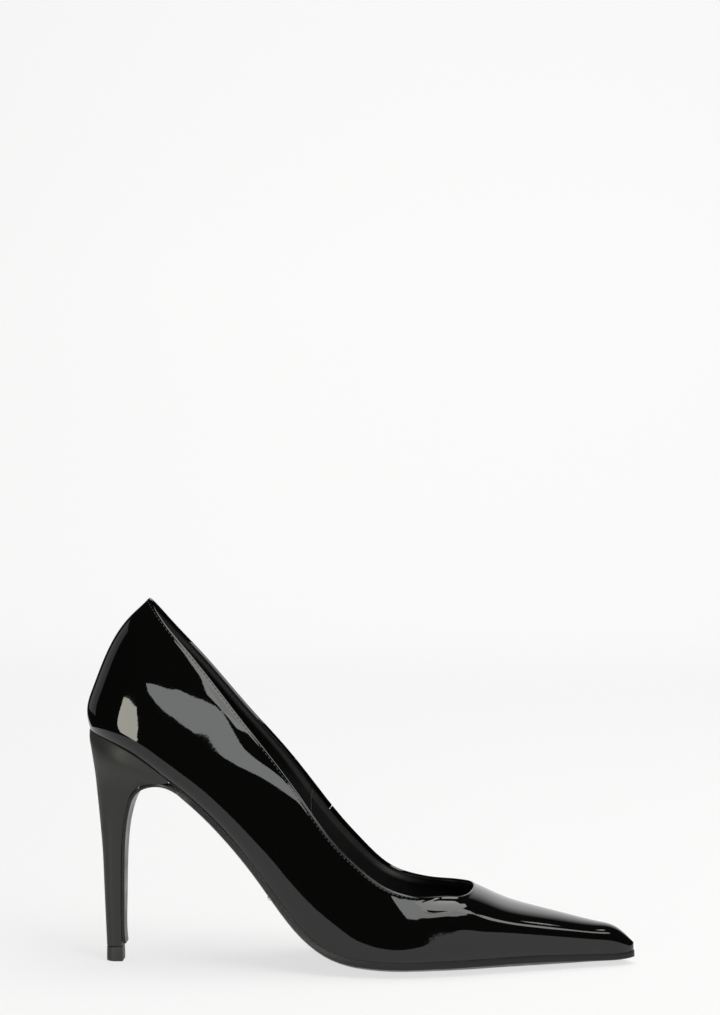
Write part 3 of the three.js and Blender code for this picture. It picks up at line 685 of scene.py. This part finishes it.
SOCK_LOW = 7.6  # how far inside the outer surface the sock's lower face lies
SOCK_INSET = 4.7
SOCK_RISE = 0.8
SOCK_THICK = 0.9
SOCK_CUP = 1.1  # how much the sock's edges curl up
SOCK_FRONT = 20.0  # how far behind the toe it ends
PADS = (("heel_pad", -4.5, 35.5), ("ball_pad", 92.5, 151.5))
PAD_INSET = 1.5  # how much narrower than the sock a pad is on each side
PAD_LOW = 0.75  # how far its lower face lies below the sock
PAD_LEAST = 0.4  # how thick it still is at its edges
PAD_CROWN = 4  # how flat it stays across the middle


def pad_lift(x):
    """How much the two pads raise the sock."""
    heel = 2.4 * smoothstep(-9, 0, x) * (1 - smoothstep(26, 36, x))
    ball = 2.2 * smoothstep(92, 104, x) * (1 - smoothstep(140, 152, x))
    return heel + ball


def make_sock():
    columns = cosine(110, BACK_X + SOCK_INSET + 0.3, TOE_X - SOCK_FRONT)
    share = np.linspace(-1, 1, 25)[None, :]
    keep = end_rounding(columns, SOCK_INSET)
    row = last_at(columns)
    halves = [np.maximum((row[:, FEATHER_HALF + side] - SOCK_INSET) * keep, 0.3) for side in (OUTER, INNER)]
    y = spread(share, [half[:, None] for half in halves])
    x = np.broadcast_to(columns[:, None], y.shape)
    cup = SOCK_CUP * np.abs(share)**3
    top = bottom_point(x, y, SOCK_LOW + SOCK_RISE + pad_lift(x) + cup)
    sock = grid_object("sock_leather", top, True)
    thicken(sock, SOCK_THICK, 0.3)
    return sock


def make_pad(name, first, last):
    """A foam pad between insole and sock, thinning out towards its ends."""
    share = np.linspace(-1, 1, 17)
    crown = 1 - share**PAD_CROWN
    columns = cosine(30, first, last)
    row = last_at(columns)
    keep = end_rounding(columns, SOCK_INSET)
    halves = [(row[:, FEATHER_HALF + side] - SOCK_INSET - PAD_INSET) * keep for side in (OUTER, INNER)]
    points = []
    for i, x in enumerate(columns):
        y = spread(share, [half[i] for half in halves])
        places = np.full_like(y, x)
        upper = bottom_point(places, y, SOCK_LOW - PAD_LOW + PAD_LEAST + pad_lift(x) * crown)
        lower = bottom_point(places, y, SOCK_LOW - PAD_LOW)
        points += list(upper) + list(lower[::-1])
    pad = mesh_object(name, points, tube_faces(len(columns), 2 * len(share)))
    face_out(pad)
    soften(pad, 0.15, 2, 50.0)
    return pad


# ---- outsole ----

SOLE_GAP = 0.12
SOLE_BACK_X = 36.0
SOLE_FRONT_X = TOE_X + 0.35
SOLE_RINGS = 90
SOLE_TURN = math.pi * 0.62  # spaces the rings, closest together at the toe
sole_thickness = Spline([36, 70, 110, 180, 235], [2.4, 2.6, 3.0, 3.0, 2.6])

# The flap that goes on from the sole down the heel breast.
FLAP = np.array([
    # x, z of the outer face in the middle of the breast, half width, sag of the middle
    [30.6, 78.4, 21.0, 1.7],
    [26.6, 80.4, 20.6, 1.4],
    [22.2, 81.3, 19.6, 1.0],
    [17.4, 80.7, 17.4, 0.4],
    [13.4, 79.0, 14.8, 0],
    [10.0, 75.8, 12.0, 0],
    [7.8, 70.6, 9.6, 0],
    [6.2, 63.4, 7.8, 0],
    [5.2, 53.0, 6.5, 0],
    [4.8, 38.0, 5.5, 0],
    [4.7, 24.0, 4.8, 0],
    [4.9, 12.0, 4.3, 0],
    [5.3, 8.2, 4.2, 0],
])
FLAP_RINGS = 70
FLAP_THICK = 1.3
FLAP_FLATNESS = 4

# The shares of the width where the sole and the flap have their points, close together at the edges.
ACROSS = 33
SOLE_SHARE = np.sin(np.linspace(-1, 1, ACROSS) * math.pi / 2)


def sole_section(x):
    """The upper face and tread of the outsole across the shoe at one place along the feather."""
    keep = end_rounding(np.array(x), -0.4)
    edge = 0.4 * smoothstep(70, 110, x) - 0.4
    row = last_at(x)
    halves = [(row[FEATHER_HALF + side] + edge) * keep for side in (OUTER, INNER)]
    y = spread(SOLE_SHARE, halves)
    upper = bottom_point(np.full(ACROSS, x), y, -SOLE_GAP)
    tread = bottom_point(np.full(ACROSS, x), y, -SOLE_GAP - sole_thickness(x))
    tread[:, 2] = np.maximum(tread[:, 2], 0)
    return upper, tread


def flap_sections():
    """The inner and outer faces of the flap, from the seat down the breast."""
    run = np.concatenate([[0], np.cumsum(np.hypot(np.diff(FLAP[:, 0]), np.diff(FLAP[:, 1])))])
    flap = Spline(run, FLAP)
    sections = []
    for r in np.linspace(0, run[-1], FLAP_RINGS):
        x, z, half, sag = flap(r)
        dx, dz = (flap(r + 0.3) - flap(r - 0.3))[:2]
        length = math.hypot(dx, dz)
        inward = np.array([dz / length, 0.0, -dx / length])
        move = -max(sag, 0) * (1 - SOLE_SHARE**FLAP_FLATNESS)
        line = np.stack([np.full(ACROSS, x), SOLE_SHARE * half, np.full(ACROSS, z)], -1)
        outer = line + inward * move[:, None]
        sections.append((outer + inward * FLAP_THICK, outer))
    return sections


def make_outsole():
    """The outsole from the toe to the seat, and its flap down the heel breast, as one piece."""
    turn = np.linspace(0, 1, SOLE_RINGS) * SOLE_TURN
    share = (1 - np.cos(turn)) / (1 - math.cos(SOLE_TURN))
    sections = [sole_section(x) for x in SOLE_FRONT_X - (SOLE_FRONT_X - SOLE_BACK_X) * share]
    sections += flap_sections()
    points = []
    for upper, tread in sections:
        points += list(upper) + list(tread[::-1])
    sole = mesh_object("outsole_resin", points, tube_faces(len(sections), 2 * ACROSS))
    weld(sole, 0.01)
    face_out(sole)
    soften(sole, 0.35, 3, 50.0)
    return sole


# ---- heel ----

HEEL = np.array([
    # back x, z, breast x, z, half width, from the seat down
    [-11.6, 101.0, 25.0, 83.0, 22.4],
    [-11.0, 97.5, 21.0, 82.8, 21.2],
    [-10.2, 92.5, 16.5, 82.1, 18.6],
    [-9.3, 86.5, 12.2, 80.3, 15.2],
    [-8.6, 80.0, 8.8, 77.0, 12.2],
    [-7.8, 72.0, 6.3, 70.5, 9.8],
    [-7.0, 63.5, 4.7, 63.0, 8.0],
    [-6.0, 52.0, 3.6, 52.0, 6.7],
    [-5.3, 38.0, 3.2, 38.0, 5.8],
    [-4.7, 24.0, 3.1, 24.0, 5.1],
    [-3.9, 6.8, 3.4, 6.8, 4.4],
])
HEEL_ROUND = 0.58  # the share of a section's length that its round back takes up
HEEL_SIDES = 40
SEAT_FRONT_X = 27.0
SEAT_LEVELS = 26
HEEL_LEVELS = 90

# The lip that closes the heel's upper edge: how far each ring goes in, and how far it rises.
HEEL_LIP = ((0.10, 0.05), (0.03, 0.03), (0.012, 0.0))

TOP_PIECE = np.array([
    # back x, z, front x, z, half width, from the ground up
    [-3.9, 0.0, 3.8, 0.0, 4.3],
    [-3.95, 3.0, 3.8, 3.0, 4.35],
    [-3.85, 6.5, 3.6, 6.5, 4.25],
])
TOP_PIECE_LEVELS = 12


def heel_outline():
    """Half of a heel section, from the middle of the back to the breast's edge and middle."""
    turn = np.linspace(0, math.pi / 2, HEEL_SIDES)
    u = HEEL_ROUND * (1 - np.cos(turn))
    v = np.sin(turn)
    straight = np.linspace(0, 1, HEEL_SIDES // 2)[1:]
    u = np.concatenate([u, HEEL_ROUND + (1 - HEEL_ROUND) * straight])
    v = np.concatenate([v, 1 - 0.04 * straight**2])
    return u, v


def heel_ring(section):
    """One closed section of the heel or the top piece."""
    back, breast, half = section[0:2], section[2:4], section[4]
    length = math.hypot(*(breast - back))
    along = (breast - back) / length
    u, v = heel_outline()
    run = u * length
    half_ring = np.stack([back[0] + along[0] * run, v * half, back[1] + along[1] * run], -1)
    mirrored = half_ring[1:][::-1] * np.array([1, -1, 1])
    return np.concatenate([mirrored, half_ring])


def seat_ring():
    """The feather line of the seat, from the breast round the back, as the heel's upper edge."""
    run = np.linspace(0, 1, len(heel_outline()[0]))
    x = BACK_X + 0.02 + (SEAT_FRONT_X - BACK_X) * (1 - np.cos(run * math.pi / 2))
    row = last_at(x)
    edges = []
    for side in (OUTER, INNER):
        half = row[:, FEATHER_HALF + side] * end_rounding(x) + 0.15
        edges.append(bottom_point(x, SIGN[side] * half, -SOLE_GAP))
    return np.concatenate([edges[OUTER][1:][::-1], edges[INNER]])


def loft_rings(sections, at, levels):
    """Rings at the given levels of a smooth surface through sections at their own levels."""
    loft = Spline(at, np.array(sections).reshape(len(sections), -1))
    return loft(levels).reshape(len(levels), -1, 3)


def make_heel():
    sections = [seat_ring()] + [heel_ring(section) for section in HEEL]
    depths = [0.0]
    for above, below in zip(sections, sections[1:]):
        depths.append(depths[-1] + np.linalg.norm(above - below, axis=1).mean())
    seat = np.linspace(0, depths[2], SEAT_LEVELS)[:-1]
    shaft = np.linspace(depths[2], depths[-1], HEEL_LEVELS)
    rings = loft_rings(sections, depths, np.concatenate([seat, shaft]))
    centre = rings[0].mean(axis=0)
    lip = [rings[0] + (centre - rings[0]) * share + np.array([0, 0, rise]) for share, rise in HEEL_LIP]
    rings = np.concatenate([np.array(lip), rings[1:]])
    faces = tube_faces(len(rings), rings.shape[1])
    heel = mesh_object("heel_cover_leather", rings.reshape(-1, 3), faces)
    weld(heel, 0.01)
    face_out(heel)
    soften(heel, 0.25, 3, 60.0)
    return heel


def make_top_piece():
    heights = TOP_PIECE[:, 1]
    sections = [heel_ring(section) for section in TOP_PIECE]
    rings = loft_rings(sections, heights, np.linspace(0, heights[-1], TOP_PIECE_LEVELS))
    faces = tube_faces(len(rings), rings.shape[1])
    tip = mesh_object("top_piece_rubber", rings.reshape(-1, 3), faces)
    face_out(tip)
    soften(tip, 0.3, 3, 50.0)
    return tip


# ---- ball stud ----

STUD_X = 76.5
STUD_SINK = 2.6  # how far its foot lies below the sole's upper face
STUD_RADIUS = 1.7
COLLAR = [(1.35, 0.0), (1.45, 0.25), (1.2, 0.45), (0.85, 0.6)]
STUD_SIDES = 32


def make_stud():
    """A polished ball on a small collar, turned about the line square to the waist."""
    neck, collar_height = COLLAR[-1]
    profile = list(COLLAR)
    start = math.asin(neck / STUD_RADIUS)
    for angle in np.linspace(start, math.pi, 18):
        rise = STUD_RADIUS * (math.cos(start) - math.cos(angle))
        profile.append((STUD_RADIUS * math.sin(angle), collar_height + rise))
    base = bottom_point(STUD_X, 0.0, -SOLE_GAP - STUD_SINK)
    out = -bottom_normal(np.array(STUD_X))
    side = np.array([0.0, 1.0, 0.0])
    other = np.cross(out, side)
    points = []
    for radius, height in profile:
        for k in range(STUD_SIDES):
            angle = 2 * math.pi * k / STUD_SIDES
            around = side * math.cos(angle) + other * math.sin(angle)
            points.append(base + out * height + around * radius)
    faces = grid_faces(len(profile), STUD_SIDES, closed=True)
    faces.append(list(range(STUD_SIDES))[::-1])
    stud = mesh_object("sole_stud_polished", points, faces)
    weld(stud, 0.001)
    face_out(stud)
    return stud


# ---- materials ----

def material(name, color, roughness, metallic=0.0, specular=0.5):
    """A plain Principled material."""
    made = bpy.data.materials.new(name)
    made.use_nodes = True
    shader = made.node_tree.nodes["Principled BSDF"]
    shader.inputs["Base Color"].default_value = (*color, 1.0)
    shader.inputs["Roughness"].default_value = roughness
    shader.inputs["Metallic"].default_value = metallic
    shader.inputs["Specular IOR Level"].default_value = specular
    return made


def node(made, kind, **values):
    """A new node with the values of some of its sockets or properties."""
    new = made.node_tree.nodes.new(kind)
    for key, value in values.items():
        if key in new.inputs:
            new.inputs[key].default_value = value
        else:
            setattr(new, key, value)
    return new


def connect(made, source, out, target, into):
    """Links an output of one node to an input of another."""
    made.node_tree.links.new(source.outputs[out], target.inputs[into])


def add_bump(made, layers):
    """Bump from noise layers, each (scale per metre, detail, height in metres)."""
    shader = made.node_tree.nodes["Principled BSDF"]
    coordinates = node(made, "ShaderNodeTexCoord")
    below = None
    for scale, detail, height in layers:
        noise = node(made, "ShaderNodeTexNoise", Scale=scale, Detail=detail)
        connect(made, coordinates, "Object", noise, "Vector")
        bump = node(made, "ShaderNodeBump", Strength=1.0, Distance=height)
        connect(made, noise, "Fac", bump, "Height")
        if below:
            connect(made, below, "Normal", bump, "Normal")
        below = bump
    connect(made, below, "Normal", shader, "Normal")


def noise_on(made, scale, detail):
    """Noise laid over the piece itself, scale per metre."""
    coordinates = node(made, "ShaderNodeTexCoord")
    noise = node(made, "ShaderNodeTexNoise", Scale=scale, Detail=detail)
    connect(made, coordinates, "Object", noise, "Vector")
    return noise


def ranged(made, source, out, low, high, to_low, to_high):
    """A node that turns low..high of another node's output into to_low..to_high."""
    mapped = node(made, "ShaderNodeMapRange")
    values = {"From Min": low, "From Max": high, "To Min": to_low, "To Max": to_high}
    for socket, value in values.items():
        mapped.inputs[socket].default_value = value
    connect(made, source, out, mapped, "Value")
    return mapped


def vary_roughness(made, scale, low, high):
    """Varies the roughness by noise between two values."""
    shader = made.node_tree.nodes["Principled BSDF"]
    mapped = ranged(made, noise_on(made, scale, 4.0), "Fac", 0.3, 0.7, low, high)
    connect(made, mapped, "Result", shader, "Roughness")


def vary_color(made, scale, dark, light):
    """Varies the colour by noise between two colours."""
    shader = made.node_tree.nodes["Principled BSDF"]
    noise = noise_on(made, scale, 6.0)
    ramp = node(made, "ShaderNodeValToRGB")
    ramp.color_ramp.elements[0].position = 0.35
    ramp.color_ramp.elements[0].color = (*dark, 1.0)
    ramp.color_ramp.elements[1].position = 0.65
    ramp.color_ramp.elements[1].color = (*light, 1.0)
    connect(made, noise, "Fac", ramp, "Fac")
    connect(made, ramp, "Color", shader, "Base Color")


def patent_leather():
    made = material("patent_leather", (0.0018, 0.0017, 0.0016), 0.03)
    add_bump(made, [(60.0, 0.0, 0.00007), (650.0, 1.0, 0.0000045)])
    vary_roughness(made, 160.0, 0.02, 0.045)
    return made


def lining_leather():
    made = material("lining_leather", (0.004, 0.0037, 0.0034), 0.5, specular=0.25)
    add_bump(made, [(2200.0, 3.0, 0.00003), (300.0, 2.0, 0.00004)])
    vary_color(made, 260.0, (0.003, 0.0027, 0.0025), (0.0052, 0.0048, 0.0044))
    return made


def heel_leather():
    made = material("heel_leather", (0.0235, 0.0235, 0.0222), 0.45, specular=0.25)
    add_bump(made, [(140.0, 2.0, 0.00003), (1500.0, 3.0, 0.000006)])
    vary_roughness(made, 220.0, 0.4, 0.5)
    return made


def sole_resin():
    made = material("sole_resin", (0.007, 0.007, 0.007), 0.36, specular=0.32)
    add_bump(made, [(700.0, 4.0, 0.00003)])
    vary_roughness(made, 130.0, 0.28, 0.46)
    return made


def tip_rubber():
    made = material("tip_rubber", (0.011, 0.011, 0.011), 0.5)
    add_bump(made, [(1800.0, 4.0, 0.00003)])
    vary_roughness(made, 500.0, 0.4, 0.6)
    return made


def thread():
    made = material("thread", (0.02, 0.02, 0.021), 0.3)
    add_bump(made, [(5200.0, 2.0, 0.00005)])
    return made


def polished_metal():
    made = material("polished_metal", (0.78, 0.79, 0.81), 0.08, 1.0)
    add_bump(made, [(600.0, 2.0, 0.000004)])
    return made


def plain_metal():
    made = material("steel", (0.55, 0.56, 0.57), 0.35, 1.0)
    add_bump(made, [(1500.0, 3.0, 0.00002)])
    vary_roughness(made, 400.0, 0.28, 0.45)
    return made


def fibre(name, dark, light, scale):
    """A dull, cloudy material, for boards, cloth, foam and moulded plastic."""
    made = material(name, light, 0.85)
    add_bump(made, [(scale, 5.0, 0.00015)])
    vary_color(made, scale / 3, dark, light)
    return made


MATERIALS = {
    "patent_leather": patent_leather(),
    "lining_leather": lining_leather(),
    "heel_leather": heel_leather(),
    "sole_resin": sole_resin(),
    "tip_rubber": tip_rubber(),
    "polished_metal": polished_metal(),
    "steel": plain_metal(),
    "stiffener": fibre("stiffener", (0.45, 0.42, 0.36), (0.66, 0.62, 0.54), 900.0),
    "tape": fibre("tape", (0.55, 0.53, 0.48), (0.72, 0.7, 0.64), 1500.0),
    "fibre_board": fibre("fibre_board", (0.2, 0.13, 0.07), (0.36, 0.25, 0.15), 700.0),
    "foam": fibre("foam", (0.55, 0.5, 0.4), (0.75, 0.7, 0.6), 1100.0),
    "heel_plastic": fibre("heel_plastic", (0.62, 0.6, 0.56), (0.72, 0.7, 0.66), 300.0),
}
THREAD = thread()


def dress(obj, made):
    """Gives an object one material."""
    obj.data.materials.clear()
    obj.data.materials.append(made)


# ---- the pieces ----

def place(obj, body, slot, *nodes, finish=None):
    """Dresses a piece in its slot's material or the given finish, hangs it on its body, and hides the frame
    nodes that it replaces.
    """
    dress(obj, finish or MATERIALS[slot])
    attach(obj, body)
    if nodes:
        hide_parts(*nodes)


def make_pieces():
    vamp, quarter = make_upper()
    place(vamp, "shoe", "patent_leather", "upper_vamp")
    place(quarter, "shoe", "patent_leather", "upper_inner_quarter")
    front, back = make_linings()
    place(front, "shoe", "lining_leather", "vamp_lining")
    place(back, "shoe", "lining_leather", "quarter_lining")
    place(make_heel_grip(), "shoe", "lining_leather", "heel_grip")
    sock = make_sock()
    place(sock, "shoe", "lining_leather", "sock")
    for name, first, last in PADS:
        pad = make_pad(name + "_foam", first, last)
        place(pad, "shoe", "foam", name)
    counter, puff, tape = make_hidden_layers()
    place(counter, "shoe", "stiffener", "heel_counter")
    place(puff, "shoe", "stiffener", "toe_puff")
    place(tape, "shoe", "tape", "topline_tape")
    place(topline_stitches(), "shoe", "patent_leather", finish=THREAD)
    place(make_outsole(), "shoe", "sole_resin", "outsole")
    place(make_heel(), "shoe", "heel_leather", "heel_cover")
    place(make_stud(), "shoe", "polished_metal", "sole_stud")
    place(make_top_piece(), "heel_tip", "tip_rubber", "top_piece")


def dress_frame():
    """Gives the frame's own nodes the materials of their slots."""
    slots = {part["node"]: part["material_slot"] for part in frame["record"]["subparts"]}
    for name, obj in frame["nodes"].items():
        slot = slots[name]
        made = MATERIALS[slot]
        if not obj.material_slots:
            obj.data.materials.append(made)
        for material_slot in obj.material_slots:
            material_slot.link = "OBJECT"
            material_slot.material = made


make_pieces()
dress_frame()


# ---- the studio ----

FLOOR_FRONT = -0.6
FLOOR_LEFT = -0.28
FLOOR_RIGHT = 1.9
BACKDROP_WIDENING = 0.6
SWEEP_START, SWEEP_RADIUS, SWEEP_TOP = 2.0, 0.6, 2.5
SWEEP_STEPS = 14
FADE_START = 1.1
GLOW_NEAR, GLOW_FAR, GLOW_REACH = 0.675, 0.785, 2.2

# The outlines of the lit panels, as their reflections need them, in metres: (x, z) in front of
# the shoe, (x, y) above it and (y, z) behind the heel.
FRONT_Y, ABOVE_Z, BEHIND_X = -1.3, 1.3, -1.2
KEY_PANEL = [
    (-0.46, 0.55), (0.0, 0.48), (0.3, 0.56), (0.45, 0.64), (0.66, 0.74), (0.8, 0.82), (1.0, 1.02),
    (1.06, 1.3), (1.7, 1.3), (1.5, 1.0), (1.05, 0.62), (0.88, 0.44), (0.6, 0.33), (0.5, 0.22),
    (0.36, 0.14), (0.3, 0.2), (0.2, 0.235), (0.07, 0.14), (-0.05, 0.2), (-0.38, 0.44),
]
WARM_PANEL = [
    (-1.4, 0.58), (-1.0, 0.48), (-0.6, 0.32), (-0.42, 0.14), (-0.42, 0.02), (-0.55, -0.12), (-1.3, -0.15),
]
TOP_PANEL = [
    (0.35, -0.75), (0.78, -1.1), (1.0, -1.3), (1.1, -2.0), (1.45, -2.0), (1.7, -1.3), (1.65, -0.7),
    (1.42, -0.44), (1.32, -0.47), (1.08, -0.46), (1.02, 0.12), (0.86, 0.38), (0.7, 0.25), (0.45, 0.6),
    (0.25, 0.7), (0.2, 0.1),
]
SIDE_PANEL = [(0.28, 0.1), (1.3, 0.1), (1.3, 1.0), (0.28, 1.0)]

# The soft lights: name, place, aim, size, power.
LIGHTS = (
    ("overhead", (0.15, 0.3, 2.2), (0.12, 0.3, 0.0), (2.6, 2.2), 17.0),
    ("backdrop_light", (0.15, 0.6, 2.6), (0.15, 2.6, 0.6), (2.4, 0.8), 14.0),
)
ROOM_GLOW = 0.012  # what the pieces get from around
ROOM_SEEN = 0.93  # what the camera sees past the backdrop's edges


def add_area(name, place, aim, size, power):
    """A soft light that lights the room without showing in the patent."""
    data = bpy.data.lights.new(name, "AREA")
    data.shape = "RECTANGLE"
    data.size, data.size_y = size
    data.energy = power
    light = link(bpy.data.objects.new(name, data))
    light.location = place
    light.rotation_mode = "QUATERNION"
    light.rotation_quaternion = (Vector(aim) - Vector(place)).to_track_quat("-Z", "Y")
    light.visible_glossy = False


def glowing(name, color, strength):
    """A material that only gives off light."""
    made = bpy.data.materials.new(name)
    made.use_nodes = True
    shader = made.node_tree.nodes["Principled BSDF"]
    shader.inputs["Base Color"].default_value = (0, 0, 0, 1)
    shader.inputs["Specular IOR Level"].default_value = 0.0
    shader.inputs["Emission Color"].default_value = (*color, 1.0)
    shader.inputs["Emission Strength"].default_value = strength
    return made


def add_panel(name, corners, color, strength):
    """A lit panel that shows only in reflections and as light. Corners in metres."""
    points = np.array(corners) / MM
    panel = mesh_object(name, points, [list(range(len(points)))], smooth=False)
    dress(panel, glowing(name, color, strength))
    panel.visible_camera = False


def floor_material():
    """Pale, glowing a little more towards the back, and fading out up the backdrop."""
    made = material("floor", (0.25, 0.25, 0.25), 0.9, specular=0.0)
    shader = made.node_tree.nodes["Principled BSDF"]
    shader.inputs["Emission Color"].default_value = (1, 1, 1, 1)
    coordinates = node(made, "ShaderNodeTexCoord")
    split = node(made, "ShaderNodeSeparateXYZ")
    connect(made, coordinates, "Object", split, "Vector")
    glow = ranged(made, split, "Y", 0.0, GLOW_REACH, GLOW_NEAR, GLOW_FAR)
    fade = ranged(made, split, "Z", FADE_START, SWEEP_TOP, 1.0, 0.0)
    both = node(made, "ShaderNodeMath", operation="MULTIPLY")
    connect(made, glow, "Result", both, 0)
    connect(made, fade, "Result", both, 1)
    connect(made, both, "Value", shader, "Emission Strength")
    return made


def make_floor():
    """A pale table that sweeps up into the backdrop."""
    profile = [(FLOOR_FRONT, 0.0), (-0.2, 0.0), (0.3, 0.0), (SWEEP_START, 0.0)]
    for angle in np.linspace(0, math.pi / 2, SWEEP_STEPS)[1:]:
        run, rise = SWEEP_RADIUS * math.sin(angle), SWEEP_RADIUS * (1 - math.cos(angle))
        profile.append((SWEEP_START + run, rise))
    profile += [(SWEEP_START + SWEEP_RADIUS, z) for z in (FADE_START, SWEEP_TOP)]
    points = []
    for y, z in profile:
        left = FLOOR_LEFT - BACKDROP_WIDENING * smoothstep(0.4, 1.3, y)
        for x in np.linspace(left, FLOOR_RIGHT, 5):
            points.append((x / MM, y / MM, z / MM))
    floor = mesh_object("floor", points, grid_faces(len(profile), 5))
    dress(floor, floor_material())


def make_panels():
    """The panels whose reflections make the highlights on the patent."""
    add_panel("key_panel", [(x, FRONT_Y, z) for x, z in KEY_PANEL], (0.96, 1.0, 0.99), 4.0)
    add_panel("warm_panel", [(x, FRONT_Y, z) for x, z in WARM_PANEL], (1.0, 0.98, 0.86), 7.8)
    add_panel("top_panel", [(x, y, ABOVE_Z) for x, y in TOP_PANEL], (1.0, 1.0, 0.97), 4.6)
    add_panel("side_panel", [(BEHIND_X, y, z) for y, z in SIDE_PANEL], (1, 1, 1), 0.35)


def make_light():
    """The soft lights, and a room that is dark to all but the camera."""
    world = bpy.data.worlds.new("studio")
    world.use_nodes = True
    background = world.node_tree.nodes["Background"]
    background.inputs["Color"].default_value = (1, 1, 1, 1)
    seen = node(world, "ShaderNodeLightPath")
    strength = ranged(world, seen, "Is Camera Ray", 0.0, 1.0, ROOM_GLOW, ROOM_SEEN)
    connect(world, strength, "Result", background, "Strength")
    SCENE.world = world
    SCENE.view_settings.view_transform = "Standard"
    for light in LIGHTS:
        add_area(*light)


make_floor()
make_panels()
make_light()
